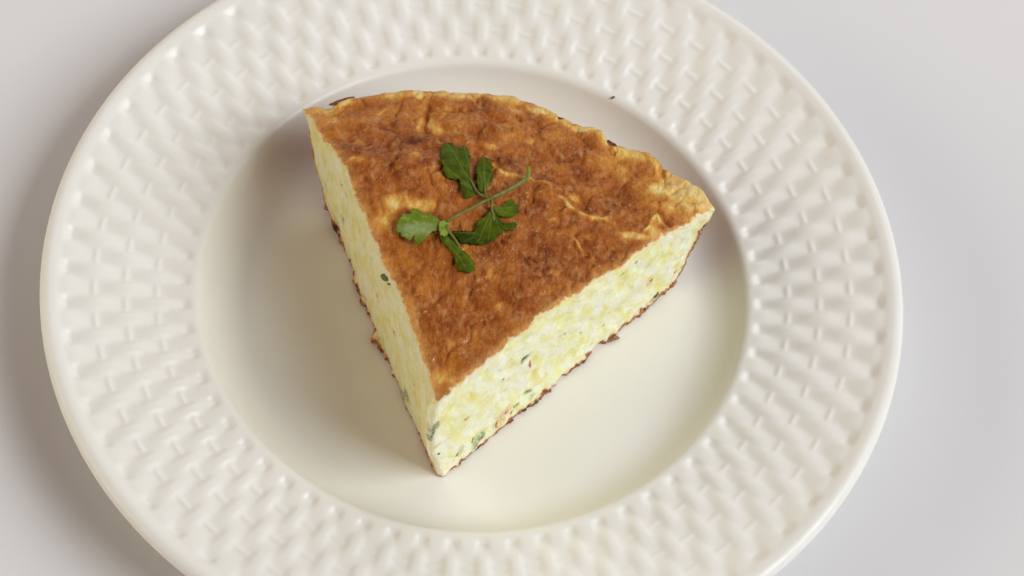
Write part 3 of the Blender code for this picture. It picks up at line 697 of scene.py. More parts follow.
# Leaflets: rise of the far end, height over the skin, how light it is, a point that sees all of it, then the
# base of its veins and their tips, then its outline. How light it is is partly painted light and shade: the
# left leaflet is lighter where it catches the light and the low left one darker in shade.
LEAVES = {
    "leaf_left": (
        1, 1.3, 0.78, (-17.4, -7.2),
        (-11.9, -5.8, -23.8, -7.6, -17.5, -12.7, -20.2, -2.2, -22, -10.5, -15.4, -10.4),
        (-11.7, -4.7, -13.4, -3.2, -15.8, -2, -16.4, -2.6, -17.6, -1.8, -19.6, -1.1, -20.8, -1.4, -20.9, -2.8,
         -21.7, -3.3, -23.4, -3.6, -23.6, -5, -24.6, -7.2, -24.5, -8.6, -24.2, -9.7, -23.1, -10, -22.8, -11.1,
         -21.8, -11.3, -20.2, -12.3, -19.5, -11.5, -18.8, -10.4, -18.8, -11.9, -18.2, -13.1, -17.4, -13.6,
         -16.1, -12.2, -15.5, -11.1, -14.8, -9.8, -13.8, -8.5, -12.6, -8.2, -11.8, -7.5, -11.7, -6.1),
    ),
    "leaf_front": (
        0.4, 1.2, 0.3, (-5.6, -14.6),
        (-10, -9.6, -2.2, -20.8, -0.7, -18.5, -4.8, -19.5, -3.4, -15.3),
        (-10.5, -9.1, -11.2, -9.7, -10.8, -11.1, -9.7, -12.4, -8.3, -13.7, -7, -15, -6.1, -16.8, -5.7, -18.6,
         -5, -20.3, -4.1, -21.5, -3, -21.8, -1.8, -21.8, -0.4, -21.3, 0, -20.3, 0.1, -18.2, -0.5, -17.2,
         -1.3, -16.7, -2.4, -15.2, -3.7, -14.2, -5.1, -12.9, -6.3, -10.9, -7.2, -9.8, -8.3, -9, -9.3, -8.9),
    ),
    "leaf_low_left": (
        0, 1, 0, (-2.8, -9),
        (1, -7.4, -7.1, -8, -3.8, -10.8, -3, -7.2, -0.8, -10.7),
        (-7.8, -7.8, -7.1, -7.3, -6, -7.3, -4.8, -7, -3.3, -7, -1.5, -6.5, 0, -5.5, 1, -7.1, 1.2, -9.2,
         0.5, -10.6, -0.4, -10.9, -1.8, -11.3, -3.1, -11.2, -4.3, -11.4, -5.2, -10.9, -6.1, -9.8, -7.1, -8.7),
    ),
    "leaf_right_low": (
        0.2, 1.2, 0.24, (3.6, -4.7),
        (3.5, 2.3, 0.4, -10.2, 3.3, -9.7, 10.3, -1.7, -0.5, -4.7, 6.6, -5.8),
        (3.3, 3.9, 2.9, 1.9, 2.1, -0.3, 1, -1.9, -0.3, -3, -0.9, -4, -1, -5.5, -1.4, -6.9, -1.3, -8.7,
         -0.7, -10.4, 0.2, -11, 1.6, -10.9, 3.4, -10, 5, -8.8, 6.4, -7.3, 7.8, -4.8, 8.5, -4.4, 9.4, -4.6,
         10.4, -3.6, 11.1, -2.4, 11.4, -1.3, 10.7, -0.5, 9.7, -1, 8.5, -1.5, 7.5, -1.7, 6.5, -1.1, 4.8, 0.7,
         4.1, 2.5),
    ),
    "leaf_right": (
        0.4, 1.4, 0.4, (7.9, 4.1),
        (3.9, 3, 10.9, 5.7, 9.2, 8.2, 9.4, 1.8, 7, 1),
        (3.6, 3.9, 4.5, 3.6, 5.5, 3.9, 6.5, 5.5, 6.9, 6.8, 7.7, 7.7, 8.9, 8.6, 9.9, 8.1, 10.5, 7.2, 11.2, 6.5,
         11.5, 4.9, 11, 3.8, 11.1, 2.9, 10.3, 1.8, 8.9, 0.9, 7.3, 0.6, 5.8, 0.5, 4.7, 0.9, 4, 2.1),
    ),
    "leaf_back": (
        0.4, 1.05, 0.26, (-7, 17.3),
        (-2, 7.9, -12.7, 27.9, -7.4, 27.8, -12.7, 16.5, -10.5, 12.5, -4.9, 5.4),
        (-1.9, 7.3, -2.8, 5.7, -4.2, 5, -5.2, 4.8, -5.7, 5.7, -6.1, 7.1, -6.7, 8.2, -7.4, 11.5, -8, 12.3,
         -8.6, 11.7, -9.8, 11.8, -11, 11.7, -11.9, 12.5, -12.4, 13.7, -12.9, 14.6, -12.9, 16.5, -14.2, 19.2,
         -14.1, 21.4, -14.4, 24.2, -14.2, 26.9, -13.8, 28.2, -12.4, 29.2, -11.3, 29, -10.5, 28.5, -9.7, 27.7,
         -9.2, 26.2, -8.9, 24, -8.9, 26.7, -8.5, 27.9, -7.9, 28.6, -7.2, 28.7, -6.5, 28, -5.9, 26.7,
         -5.5, 24.8, -5, 23.4, -5, 19.5, -4.6, 17.2, -3.6, 13.2, -2.9, 11.5, -2.2, 9.8, -1.7, 8.4),
    ),
    "leaf_middle": (
        0.4, 1.2, 0.3, (-0.1, 16.5),
        (0.7, 8, -1, 24.5, -2.3, 19, 1.8, 20.5, -2, 13.3, 2.1, 15.1),
        (0.6, 7.5, -0.2, 8.3, -1.3, 9.5, -1.9, 11.3, -2.3, 13.2, -2.3, 15.6, -2.8, 17.9, -2.7, 20.3,
         -2.3, 22.3, -1.8, 24.1, -1.2, 25, -0.4, 24.8, 0.4, 24.6, 1, 23.3, 1.7, 22.3, 2.2, 21, 2, 19.5,
         2.5, 17.5, 2.4, 15.7, 2, 13.6, 1.1, 11.6, 0.8, 9.9, 0.9, 8.1),
    ),
    "stub": (
        0, 2, 1, (-10.5, -7.5),
        (-9.6, -5.3, -10.8, -9.7, -9.4, -9.6),
        (-11.9, -5.6, -11.2, -4.9, -10.1, -4.6, -9.2, -5.1, -9.1, -6.3, -9.2, -7.8, -9.1, -9.5, -9.9, -10.3,
         -10.9, -10.1, -11.5, -8.7, -11.9, -7.3),
    ),
}
# A painted sheen on the middle of the left leaflet: middle, half length, half width, turn in degrees
PAINTED_LEAF_SHEEN = (-18.4, -8.6, 5, 2.1, 12)


def under_top(height):
    """Heights bent softly to stay under the sprig's top."""
    return SPRIG_TOP - SPRIG_EASE * np.log1p(np.exp((SPRIG_TOP - height) / SPRIG_EASE))


def smooth_route(points, count, closed):
    """count points along a smooth curve through the given ones."""
    last = len(points) if closed else len(points) - 1
    result = []
    for place in np.linspace(0, last, count, endpoint=not closed):
        k = min(int(place), last - 1)
        t = place - k
        numbers = [k + step for step in (-1, 0, 1, 2)]
        if not closed:
            numbers = np.clip(numbers, 0, last)
        a, b, c, d = (points[number % len(points)] for number in numbers)
        curve = (c - a) * t + (2 * a - 5 * b + 4 * c - d) * t**2 + (3 * b - a - 3 * c + d) * t**3
        result.append(b + 0.5 * curve)
    return np.array(result)


def stem_part(young, start_radius, end_radius, *route):
    """A round stem with rounded ends; young is 1 where it is freshest, at its start."""
    x, y, lift = smooth_route(np.reshape(route, (-1, 3)), STEM_RINGS, False).T
    z = under_top(slice_top(x, y) + lift + start_radius) - start_radius
    share = np.linspace(0, 1, STEM_RINGS)
    bumps = 1 + 0.06 * noise_at(columns(x, y, z), 3, 5) - 0.35 * (1 - smooth_step(0, 0.1, share))
    radii = (mix(start_radius, end_radius, share) * bumps).tolist()
    middles = [Vector(point) for point in columns(x, y, z)]
    before = (middles[0] - middles[1]).normalized() * radii[0] * 0.4
    beyond = (middles[-1] - middles[-2]).normalized() * radii[-1] * 0.5
    middles = [middles[0] + before, *middles, middles[-1] + beyond]
    radii = [radii[0] * 0.5, *radii, radii[-1] * 0.4]
    points = []
    for number, (middle, radius) in enumerate(zip(middles, radii)):
        ahead = middles[min(number + 1, len(middles) - 1)] - middles[max(number - 1, 0)]
        across = ahead.cross(Vector((0, 0, 1))).normalized()
        upright = across.cross(ahead).normalized()
        for angle in 2 * pi * np.arange(STEM_SIDES) / STEM_SIDES:
            points.append(middle + radius * (cos(angle) * across + sin(angle) * upright))
    nothing = np.zeros(len(points))
    tone = young * (1 - np.repeat(np.linspace(0, 1, len(middles)), STEM_SIDES))
    faces = flipped(body_faces(len(middles), STEM_SIDES))
    return points, faces, {"vein": nothing, "tone": tone, "pale": nothing, "stem": nothing + 1}


def leaf_part(rise, lift, tone, middle, veins, outline):
    """A leaflet with toothed edges, raised veins and a wavy blade."""
    edge = smooth_route(np.reshape(outline, (-1, 2)), LEAF_SIDES, True)
    base, *tips = np.reshape(veins, (-1, 2))
    spoke = edge - middle
    walked = np.cumsum(np.hypot(*(edge - np.roll(edge, 1, axis=0)).T))
    places = columns(walked, 0, 7 * lift)
    tooth = walked / 1.25 + 0.8 * noise_at(places, 3.1)
    teeth = (1 - np.abs(2 * (tooth % 1) - 1)) ** 1.4 * (0.42 + 0.4 * noise_at(places, 1.7, 5)) - 0.15
    teeth = teeth * smooth_step(1.5, 4, np.hypot(*(edge - base).T))
    edge = edge + spoke * (teeth / np.hypot(*spoke.T))[:, None]
    share = np.linspace(0, 1, LEAF_RINGS + 1)[1:] ** 0.8
    x, y = np.concatenate([[middle]] + [middle + part * (edge - middle) for part in share]).T
    rim = np.append(0, np.repeat(share, LEAF_SIDES))

    vein = np.zeros_like(x)
    from_base = np.hypot(x - base[0], y - base[1])
    for number, tip in enumerate(tips):
        width = mix(0.42, 0.16, np.clip(from_base / np.hypot(*(tip - base)), 0, 1))
        width = width * (1 if number == 0 else 0.75)
        vein = np.maximum(vein, bell(from_line(x, y, *base, *tip), width))
    places = columns(x, y, lift)
    reach = from_base / max(np.hypot(*(edge - base).T))
    wave = rim * layered(places, (0.5, 4.5, 3), (0.22, 2, 8))
    top = under_top(slice_top(x, y) + lift + rise * reach**1.5 + wave - 0.25 * rim**3 + 0.12 * vein)
    points = np.concatenate([columns(x, y, top), columns(x, y, top - LEAF_THICKNESS)])
    return points, blade_faces(LEAF_RINGS, LEAF_SIDES), {
        "vein": np.tile(vein, 2),
        "tone": np.tile(tone + 0.15 * noise_at(places, 4, 6), 2),
        "pale": np.tile(patch_mask(x, y, *PAINTED_LEAF_SHEEN), 2),
        "stem": np.zeros(len(points)),
    }


# ---------------------------------------------------------------- flecks in the cut faces, flakes and crumbs

FLECK_RINGS = 3
FLECK_SIDES = 14
FLECK_DEPTH = 0.5
WHOLE_LEAF = 0.05  # flecks of a lower tone are whole bits of leaf, which stand out more
BROWNED = 0.4  # flecks of this tone or more are browned
# On which cut, place along it and up it, half length, half width, turn in degrees, tone (0 leaf to 1 browned)
FLECKS = (
    (0, 34.4, 34.4, 1.6, 0.8, 35, 0.05), (0, 37.4, 27, 0.55, 2.2, 10, 0.8),
    (0, 25.3, 32.4, 0.6, 0.35, 40, 0.15), (0, 12.3, 26.5, 0.5, 0.35, 0, 0.6), (0, 60, 20, 0.5, 0.35, 30, 0.2),
    (0, 51.6, 29.5, 0.6, 0.35, 0, 0.5), (0, 38.2, 9.6, 1.2, 0.6, -30, 0.12),
    (0, 32.6, 7.4, 1.1, 0.7, 20, 0.3), (0, 18.2, 4.6, 1.2, 0.8, -20, 0.1), (0, 14.4, 8.6, 1.4, 0.4, 70, 0.08),
    (0, 16, 3, 1.8, 0.7, 25, 0.25), (0, 8, 8.6, 1.2, 0.4, 60, 0.15), (0, 24.5, 5.5, 1.6, 0.5, 80, 0.75),
    (0, 28.4, 8.6, 0.9, 0.5, 10, 0.7), (0, 31.2, 4.4, 0.9, 0.45, 70, 0.95),
    (0, 76.4, 36.4, 0.9, 0.4, -20, 0.2), (0, 91.4, 17, 0.6, 0.5, 0, 0.75), (0, 95.8, 3.2, 1.2, 0.9, 0, 0),
    (0, 83, 35.8, 0.7, 0.4, 0, 0.4), (0, 71, 12, 0.6, 0.4, 0, 0.3), (0, 104, 8, 0.7, 0.5, 0, 0.6),
    (0, 3, 18.3, 0.35, 0.35, 0, 0.02), (1, 49.9, 41.8, 5.2, 1.15, -55, 0), (1, 46.6, 43.4, 2.2, 0.4, -55, 0),
    (0, 2, 38.2, 0.9, 2, -25, 0.12), (0, 0.9, 33, 0.7, 2.4, -15, 0.15), (1, 28, 5.8, 3.2, 1, -62, 0.12),
    (1, 88, 18.6, 1.4, 0.7, -60, 0.12), (1, 41.4, 23, 0.6, 0.4, 0, 0.85), (1, 57.4, 19.6, 0.5, 0.35, 0, 0.7),
    (1, 89.8, 35.6, 1.1, 0.35, -60, 0.8), (1, 23.4, 20, 0.8, 0.8, 0, 0.5),
)
# Browned flakes at the foot and back edge, a flake on the plate, green bits by the right cut's foot and a
# speck in the well: middle, the way from it to the far end, half width, thickness, height, seed
FLAKES = (
    (-49.8, 29, 0.3, -1.4, 0.5, 0.5, 8.6, 1), (-46.8, 21.9, 1, -2.4, 0.55, 0.6, 8.9, 2),
    (-44.5, 18.4, 0.8, -1.5, 0.5, 0.6, 8.3, 3), (16, -41.7, 0.9, 0.7, 0.5, 0.7, 8, 21),
    (19.8, -37.2, 0.8, 0.5, 0.45, 0.6, 7.9, 22), (-48, 50.8, 3.7, 1.7, 0.8, 0.5, 37.8, 9),
    (22.6, 53.1, 2, -0.8, 0.6, 0.4, 37, 10), (38.5, 46.4, 1.7, -1, 0.5, 0.35, 36.9, 11),
)
TAN_FLAKES = ((44.6, -8.3, 2.7, 1, 0.9, 0.9, 8, 14),)
GREEN_CRUMBS = ((22.5, -34.4, 1.3, 1, 0.7, 0.7, 8, 12), (58.3, 9.4, 1.1, 1.1, 0.6, 0.7, 8.3, 15))
PLATE_SPECKS = ((38.2, 78.2, 0.6, 0.6, 0.3, 0.7, 17.3, 13),)


def fleck_part(number, side, along, up, long, wide, turn, tone):
    """A thin bit that lies in a cut face; its outline is uneven and it follows the crumb under it."""
    cut = CUTS[side]
    c, s = cos(radians(turn)), sin(radians(turn))
    share = np.repeat(np.arange(1, FLECK_RINGS + 1) / FLECK_RINGS, FLECK_SIDES)
    theta = np.tile(2 * pi * np.arange(FLECK_SIDES) / FLECK_SIDES, FLECK_RINGS)
    uneven = 1 + 0.3 * noise_at(columns(np.cos(theta), np.sin(theta), number * 3.7), 0.7)
    px = np.append(0, share * long * uneven * np.cos(theta))
    py = np.append(0, share * wide * uneven * np.sin(theta))
    along = along + px * c - py * s
    height = np.maximum(up + px * s + py * c, 0.2)
    x, y = TIP_X + along * cos(cut.angle), TIP_Y + along * sin(cut.angle)
    relief = cut_relief(x, y, along, height, 60, cut) * smooth_step(0, RELIEF_REACH, along)
    x, y = round_tip(x, y, height)
    proud = (0.25 if tone < WHOLE_LEAF else 0.05) + 0.16 * np.append(1, 1 - share**2)
    upper = columns(*outwards(x, y, cut, relief + proud), height + BASE)
    lower = columns(*outwards(x, y, cut, relief - FLECK_DEPTH), height + BASE)
    tones = np.full(2 * len(x), tone)
    return np.concatenate([upper, lower]), blade_faces(FLECK_RINGS, FLECK_SIDES), {"tone": tones}


def flake_part(tilt, x, y, dx, dy, wide, thick, height, seed):
    """An uneven chip: a round ball pressed flat, stretched along its heading and roughened."""
    ball = bmesh.new()
    bmesh.ops.create_icosphere(ball, subdivisions=4, radius=1)
    long = hypot(dx, dy)
    c, s = dx / long, dy / long
    points = []
    for place in [vertex.co for vertex in ball.verts]:
        bump = 1 + 0.3 * noise.noise(place * 1.6 + Vector((seed * 5.1, 0, 0))) + 0.14 * noise.noise(place * 5)
        bend = 0.35 * noise.noise(Vector((place.x * 1.3, seed * 2.3, 0)))
        px, py, pz = place.x * long * bump, (place.y * bump + bend) * wide, place.z * thick * bump * 0.5
        points.append((x + px * c - py * s, y + px * s + py * c, height + pz + tilt * px))
    faces = [[vertex.index for vertex in face.verts] for face in ball.faces]
    ball.free()
    return points, faces, {}


# ---------------------------------------------------------------- materials


def srgb(code):
    """Linear colour of a six-digit sRGB code."""
    parts = [int(code[k:k + 2], 16) / 255 for k in (0, 2, 4)]
    return *(part / 12.92 if part <= 0.04045 else ((part + 0.055) / 1.055) ** 2.4 for part in parts), 1


def feed(target, value):
    """Give a node's input a number, a colour's code or another node's output."""
    if isinstance(value, Value):
        value.tree.links.new(value.socket, target)
    else:
        target.default_value = srgb(value) if isinstance(value, str) else value


class Value:
    """A node's output; +, -, *, abs() and or_more() add a math node to it."""

    def __init__(self, tree, socket):
        self.tree = tree
        self.socket = socket

    def math(self, operation, *values):
        made = self.tree.nodes.new("ShaderNodeMath")
        made.operation = operation
        for target, value in zip(made.inputs, values):
            feed(target, value)
        return Value(self.tree, made.outputs[0])

    def __add__(self, other):
        return self.math("ADD", self, other)

    def __sub__(self, other):
        return self.math("SUBTRACT", self, other)

    def __rsub__(self, other):
        return self.math("SUBTRACT", other, self)

    def __mul__(self, other):
        return self.math("MULTIPLY", self, other)

    def __abs__(self):
        return self.math("ABSOLUTE", self)

    def or_more(self, other):
        return self.math("MAXIMUM", self, other)


class Shader:
    """A Principled material and short ways to add nodes to it."""

    def __init__(self, name, roughness=0.5):
        self.material = bpy.data.materials.new(name)
        self.material.use_nodes = True
        self.tree = self.material.node_tree
        self.set("Roughness", roughness)
        self.place = self.node("TexCoord", "Object")

    def node(self, kind, output, inputs=None, **settings):
        made = self.tree.nodes.new("ShaderNode" + kind)
        for key, setting in settings.items():
            setattr(made, key, setting)
        for key, value in (inputs or {}).items():
            feed(made.inputs[key], value)
        return Value(self.tree, made.outputs[output])

    def set(self, name, value):
        feed(self.tree.nodes["Principled BSDF"].inputs[name], value)

    def noise(self, size, detail=3, roughness=0.55, stretch=(1, 1, 1), turn=(0, 0, 0), distortion=0.0):
        scale = [size * MM * part for part in stretch]
        inputs = {"Vector": self.place, "Scale": scale, "Rotation": turn}
        place = self.node("Mapping", "Vector", inputs, vector_type="TEXTURE")
        shape = {"Scale": 1, "Detail": detail, "Roughness": roughness, "Distortion": distortion}
        return self.node("TexNoise", "Fac", {"Vector": place, **shape})

    def lumps(self, size, strength, **shape):
        """Noise around zero, for adding to a value."""
        return (self.noise(size, **shape) - 0.5) * strength

    def cells(self, size):
        return self.node("TexVoronoi", "Distance", {"Vector": self.place, "Scale": 1 / (size * MM)})

    def value(self, name):
        return self.node("Attribute", "Fac", attribute_name=name)

    def ease(self, value, low, high, out_low=0.0, out_high=1.0):
        """The value turned smoothly from one range into another."""
        inputs = {"Value": value, "From Min": low, "From Max": high, "To Min": out_low, "To Max": out_high}
        return self.node("MapRange", "Result", inputs, interpolation_type="SMOOTHSTEP")

    def tones(self, value, *stops):
        """The value turned into a colour; each stop is a value and its colour."""
        color = self.node("ValToRGB", "Color", {"Fac": value})
        elements = color.socket.node.color_ramp.elements
        while len(elements) < len(stops):
            elements.new(0.5)
        for element, (position, code) in zip(elements, stops):
            element.position = position
            element.color = srgb(code)
        return color

    def blend(self, share, first, second, blend_type="MIX"):
        return self.node("Mix", 2, {0: share, 6: first, 7: second}, data_type="RGBA", blend_type=blend_type)

    def blend_normal(self, share, first, second):
        return self.node("Mix", 1, {0: share, 4: first, 5: second}, data_type="VECTOR")

    def bump(self, height, distance):
        return self.node("Bump", "Normal", {"Distance": distance * MM, "Strength": 1, "Height": height})


def porcelain_material():
    shader = Shader("glazed_porcelain")
    shader.set("Base Color", shader.tones(shader.noise(38, 2), (0.3, "efece2"), (0.7, "f3f0e8")))
    shader.set("Roughness", shader.ease(shader.noise(14, 4), 0.3, 0.7, 0.3, 0.42))
    shader.set("Normal", shader.bump(shader.noise(9, 1), 0.08))
    return shader.material


CRUST_TONES = (
    (0, "ebd08a"), (0.14, "e6bf66"), (0.3, "d29442"), (0.46, "be762c"), (0.62, "a65b1e"), (0.8, "8a4414"),
    (1, "66290c"),
)


def crust_color(shader, wrinkle):
    """Browned skin: the browning value broken up by lumps, long wrinkles and grain, with dark pits, a painted
    highlight along the wrinkles' crests and painted shade in their creases.
    """
    brown = shader.value("brown")
    browned = shader.ease(brown, 0.25, 0.5)
    brown += shader.lumps(6, 0.5, stretch=(1, 1.2, 1))
    brown += shader.lumps(2.2, 0.28, stretch=(0.9, 1.2, 1))
    brown += shader.lumps(0.9, 0.32, stretch=(0.75, 1.5, 1))
    rosy = shader.ease(shader.noise(5, distortion=0.8), 0.5, 0.66, 0, 0.42)
    russet = shader.ease(shader.noise(13, 2), 0.44, 0.62, 0, 0.3) * browned
    light = shader.ease(shader.noise(3.4, 1, stretch=(0.8, 1.4, 1)), 0.5, 0.8, 0, 0.4) * browned
    dark = shader.ease(shader.noise(3.6, 2, distortion=0.3), 0.53, 0.75, 0, 0.5) * browned
    # Painted light along the wrinkles: a lighter line as a painted highlight beside a darker line of painted
    # shade
    painted_crest_highlight = shader.ease(wrinkle, 0.06, 0.02, 0, 0.16)
    painted_crease_shade = shader.ease(wrinkle, 0.02, 0.0, 0, 0.2) * browned
    pits = shader.ease(shader.cells(1.6) + shader.lumps(5, 0.5), 0.16, 0.06, 0, 0.3) * browned
    color = shader.tones(brown, *CRUST_TONES)
    for share, tone in (
        (rosy, "c0703a"), (russet, "8e4a22"), (light, "dba868"), (dark, "6c3412"), (painted_crest_highlight, "d8944a"),
        (painted_crease_shade, "7a3a10"), (pits, "552405"),
    ):
        color = shader.blend(share, color, tone)
    return color


# Curds stand taller than they are wide and lean towards the tip
CURD = {"stretch": (0.85, 1, 1.7), "turn": (0, -CURD_LEAN, CUT_RIGHT)}


def crumb_color(shader):
    """Pale curd with yellower egg, soft herb stains and small darker pores."""
    curd, fine, soft = (shader.noise(size, **CURD) for size in (5, 0.9, 2.9))
    grain_share = shader.ease(shader.value("shaded"), 0, 1, 0.08, 0.3)
    grain = shader.ease(shader.noise(0.6, 4, 0.7), 0.54, 0.72) * grain_share
    color = shader.tones(curd, (0.36, "faf9e4"), (0.5, "f8f7ce"), (0.64, "f1eca2"))
    herb = shader.tones(fine, (0.34, "7c8f64"), (0.5, "a5b388"), (0.64, "d0d7ae"))
    peach = shader.tones(fine, (0.3, "c08a50"), (0.46, "e2be88"), (0.62, "f0e0b4"))
    uneven = shader.ease(soft, 0.28, 0.6, 0.5, 1.4)
    for kind, tone, most in (
        ("white", "f9f7e4", 0.7), ("yolk", "efe088", 0.75), ("peach", peach, 0.9), ("herb", herb, 0.95),
    ):
        color = shader.blend(shader.ease(shader.value(kind) * uneven, 0.1, 1, 0, most), color, tone)
    for share, tone in (
        (shader.ease(soft, 0.52, 0.7, 0, 0.5), "ede38e"),
        (shader.ease(fine, 0.57, 0.72, 0, 0.4), "d4cd90"),
        (grain, "c4bd8a"),
        (shader.ease(fine, 0.42, 0.26, 0, 0.35), "fcfae6"),
    ):
        color = shader.blend(share, color, tone)
    return color


def omelette_material():
    """Browned skin on top and on the outer side, crumb in the cuts, and broken brown rind at the foot."""
    shader = Shader("omelette_surface")
    ragged = shader.noise(1.5, 4, 0.65) - 0.5
    wide = shader.noise(4.5, 2) - 0.5
    edge = shader.value("edge") + (ragged * 2 + wide * 3.4)
    depth = shader.value("depth") + ragged * 1.6
    skin = shader.ease(depth, 0.1, 0.8, 1, 0) * (1 - shader.ease(edge, 0.05, 1.05, 1, 0))
    crust_share = skin.or_more(shader.value("side"))
    dry = 1 - crust_share

    crust = crust_color(shader, abs(shader.lumps(4.4, 1, detail=2, stretch=(0.8, 1.5, 1))))
    fringe = shader.ease(edge, 0.4, 4, 1, 0) * shader.ease(wide, -0.1, 0.14, 0.3, 0.95)
    crust = shader.blend(fringe, crust, "e2a55c")
    crumb = crumb_color(shader)
    # The left cut's crumb is painted darker and warmer than the right cut's: painted shade
    crumb = shader.blend(shader.value("shaded"), crumb, shader.blend(1, crumb, "e0dacb", "MULTIPLY"))
    crumb = shader.blend(shader.ease(depth, 0.3, 1.9, 0.42, 0), crumb, "ecc98c")
    color = shader.blend(crust_share, crumb, crust)
    below = shader.value("rind") + shader.lumps(2.2, 4, detail=4)
    color = shader.blend(shader.ease(below, 0.2, 1.5, 0.5, 0), color, "e6b48c")
    foot = shader.noise(1.3, 4) + shader.lumps(8, 0.3)
    foot = shader.tones(foot, (0.36, "56301f"), (0.47, "94583a"), (0.6, "c48e66"))
    shader.set("Base Color", shader.blend(shader.ease(below, -0.1, 0.3, 1, 0), color, foot))

    oily = shader.ease(shader.noise(1.8, 2, stretch=(0.7, 1.5, 1)), 0.55, 0.62)
    oily = oily * shader.ease(shader.noise(11, 2), 0.42, 0.58, 0.05, 1)
    shader.set("Roughness", shader.ease(oily, 0, 1, 0.5, 0.28).or_more(dry * 0.62))
    shader.set("Specular IOR Level", shader.ease(oily, 0, 1, 0.18, 1))
    shader.set("Specular Tint", (1, 0.76, 0.58, 1))
    crumbs = shader.bump(shader.noise(1.5, 4, 0.6) + shader.noise(0.5, 2) * 0.4, 0.36)
    fibres = shader.bump(shader.noise(1.7, 3, 0.5, (0.85, 1.4, 1)), 1)
    shader.set("Normal", shader.blend_normal(crust_share, crumbs, fibres))
    shader.set("Subsurface Weight", dry * 0.35)
    shader.set("Subsurface Radius", (4.5 * MM, 2.8 * MM, 1.1 * MM))
    shader.set("Subsurface Scale", 1)
    return shader.material


LEAF_TONES = ((0, "2e3b00"), (0.3, "4a5700"), (0.6, "60740a"), (0.85, "708028"), (1, "8ca040"))


def leaf_material():
    shader = Shader("coriander_leaf", 0.55)
    tone = shader.value("tone")
    leaf = shader.tones(tone + shader.lumps(2, 0.9, detail=4), *LEAF_TONES)
    leaf = shader.blend(shader.value("vein") * 0.2, leaf, "8fa850")
    # Painted sheen on the left leaflet's middle, broken into streaks
    sheen_streaks = shader.ease(shader.noise(1.6, stretch=(2.2, 0.8, 1)), 0.35, 0.65, 0.35, 0.85)
    leaf = shader.blend(shader.value("pale") * sheen_streaks, leaf, "a9b78a")
    stalk = shader.tones(shader.noise(3.5, 2), (0.35, "66682a"), (0.65, "8a864c"))
    stalk = shader.blend(shader.ease(tone, 0.84, 0.93), stalk, "7f9e1c")
    shader.set("Base Color", shader.blend(shader.value("stem"), leaf, stalk))
    shader.set("Normal", shader.bump(shader.noise(0.8), 0.3))
    shader.set("Specular IOR Level", 0.1)
    return shader.material


def fleck_material():
    """Leaf bits, herbs and browned bits by their tone: 0 is a dark leaf, 0.2 a pale herb, 1 is browned."""
    shader = Shader("flecks", 0.6)
    grain, tone = shader.noise(0.9), shader.value("tone")
    leaf, herb, browned = (shader.tones(grain, *zip((0.36, 0.5, 0.62), codes)) for codes in (
        ("3c460c", "556014", "727c2c"), ("788448", "9aa468", "c0c690"), ("8a5a30", "bd844c", "dcb47c")))
    color = shader.blend(shader.ease(tone, 0.02, 0.1), leaf, herb)
    shader.set("Base Color", shader.blend(shader.ease(tone, 0.3, 0.6), color, browned))
    shader.set("Normal", shader.bump(grain, 0.15))
    shader.set("Specular IOR Level", 0.25)
    return shader.material


def flake_material(name, dark, light):
    shader = Shader(name, 0.55)
    grain = shader.noise(1.1, 4)
    shader.set("Base Color", shader.tones(grain, (0.35, dark), (0.65, light)))
    shader.set("Normal", shader.bump(grain, 0.2))
    return shader.material


def floor_material():
    shader = Shader("pale_floor", 0.6)
    shader.set("Base Color", shader.tones(shader.noise(300), (0.3, "e3e1e2"), (0.7, "e7e5e5")))
    return shader.material


# ---------------------------------------------------------------- the pieces


def make_sprig():
    parts = [stem_part(name == "stalk", *shape) for name, shape in STEMS.items()]
    parts += [leaf_part(*shape) for shape in LEAVES.values()]
    make_piece("coriander_sprig", parts, leaf_material(), "coriander")


def make_flecks():
    for name, browned, slot in (("herb_flecks", False, "coriander"), ("browned_flecks", True, "omelette")):
        flecks = [fleck for fleck in FLECKS if (fleck[-1] >= BROWNED) == browned]
        parts = [fleck_part(number, *fleck) for number, fleck in enumerate(flecks)]
        make_piece(name, parts, fleck_material())


def make_flakes():
    dark = flake_material("dark_crust", "54290f", "8a4f28")
    green = flake_material("green_crumb", "3b3c14", "5f6326")
    for name, flakes, material, slot in (
        ("crust_flakes", FLAKES, dark, "omelette"),
        ("tan_flakes", TAN_FLAKES, flake_material("tan_crust", "6e4426", "b08054"), "omelette"),
        ("green_crumbs", GREEN_CRUMBS, green, "coriander"),
        ("plate_specks", PLATE_SPECKS, dark, "omelette"),
    ):
        tilt = random.Random(SEED)
        make_piece(name, [flake_part(tilt.uniform(-0.12, 0.12), *flake) for flake in flakes], material)


def make_floor():
    bpy.ops.mesh.primitive_plane_add(size=4)
    floor = bpy.context.object
    floor.name = "floor"
    floor.data.materials.append(floor_material())


# ---------------------------------------------------------------- camera and light

LENS = 105.47
SENSOR_WIDTH = 36
CLIP_START = 0.01  # metres
CAMERA_PLACE = Vector((11.986, -495.852, 820.206)) * MM
CAMERA_ELEVATION = radians(58.258)
CAMERA_ROLL = radians(6.193)
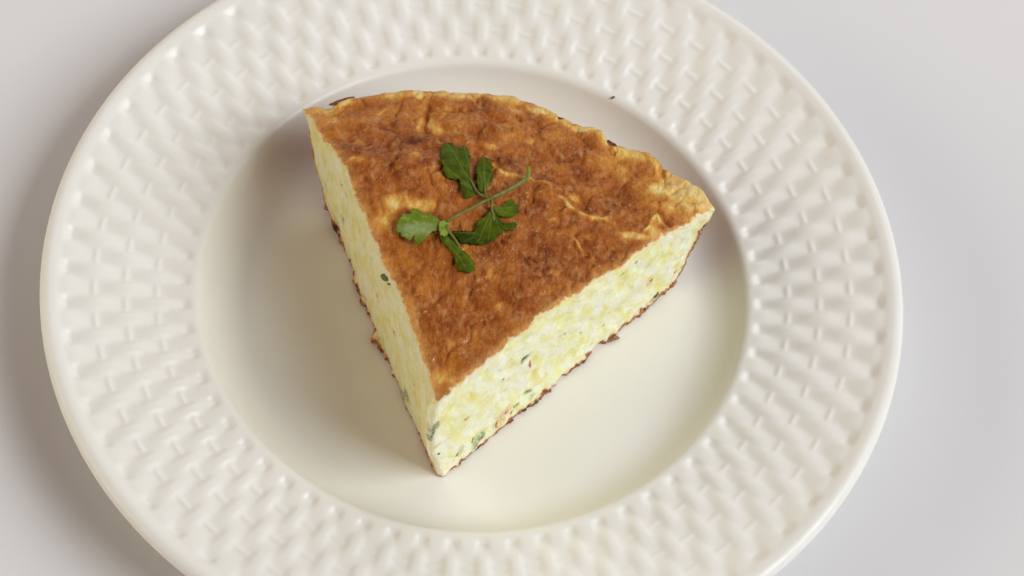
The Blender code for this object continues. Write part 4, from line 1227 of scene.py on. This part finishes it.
# Soft panels that face the plate: name, azimuth (0 is +X, 90 is +Y) and elevation in degrees, distance, width
# and height in metres, power, colour
LIGHTS = (
    ("key", -13, 42, 5, 3.2, 3.2, 237, (0.9, 0.965, 1)),
    ("left_fill", 182, 18.5, 5, 5, 3, 140, (1, 0.94, 0.77)),
    ("back_window", 76, 30, 1.6, 1.3, 1, 5.4, (0.95, 0.97, 0.97)),
)
ROOM_COLOR = (1, 0.58, 0.5, 1)
ROOM_STRENGTH = 0.115


def make_camera():
    data = bpy.data.cameras.new("camera")
    data.lens = LENS
    data.sensor_width = SENSOR_WIDTH
    data.clip_start = CLIP_START
    camera = new_object("camera", data)
    forward = Vector((0, cos(CAMERA_ELEVATION), -sin(CAMERA_ELEVATION)))
    level = Vector((1, 0, 0))
    upright = level.cross(forward)
    right = cos(CAMERA_ROLL) * level + sin(CAMERA_ROLL) * upright
    up = -sin(CAMERA_ROLL) * level + cos(CAMERA_ROLL) * upright
    turn = Matrix((right, up, -forward)).transposed()
    camera.matrix_world = Matrix.Translation(CAMERA_PLACE) @ turn.to_4x4()
    bpy.context.scene.camera = camera


def make_light():
    for name, azimuth, elevation, distance, width, height, power, color in LIGHTS:
        data = bpy.data.lights.new(name, "AREA")
        data.shape = "RECTANGLE"
        data.size, data.size_y = width, height
        data.energy = power
        data.color = color
        light = new_object(name, data)
        a, e = radians(azimuth), radians(elevation)
        way = Vector((cos(a) * cos(e), sin(a) * cos(e), sin(e)))
        light.location = way * distance
        light.rotation_euler = way.to_track_quat("Z", "Y").to_euler()
    world = bpy.data.worlds.new("room")
    world.use_nodes = True
    background = world.node_tree.nodes["Background"]
    background.inputs["Color"].default_value = ROOM_COLOR
    background.inputs["Strength"].default_value = ROOM_STRENGTH
    bpy.context.scene.world = world
    bpy.context.scene.view_settings.view_transform = "Standard"


make_camera()
make_light()
make_floor()
make_piece("plate_glazed", [plate_part()], porcelain_material(), "plate")
make_piece("omelette_slice", [slice_part()], omelette_material(), "omelette")
make_sprig()
make_flecks()
make_flakes()
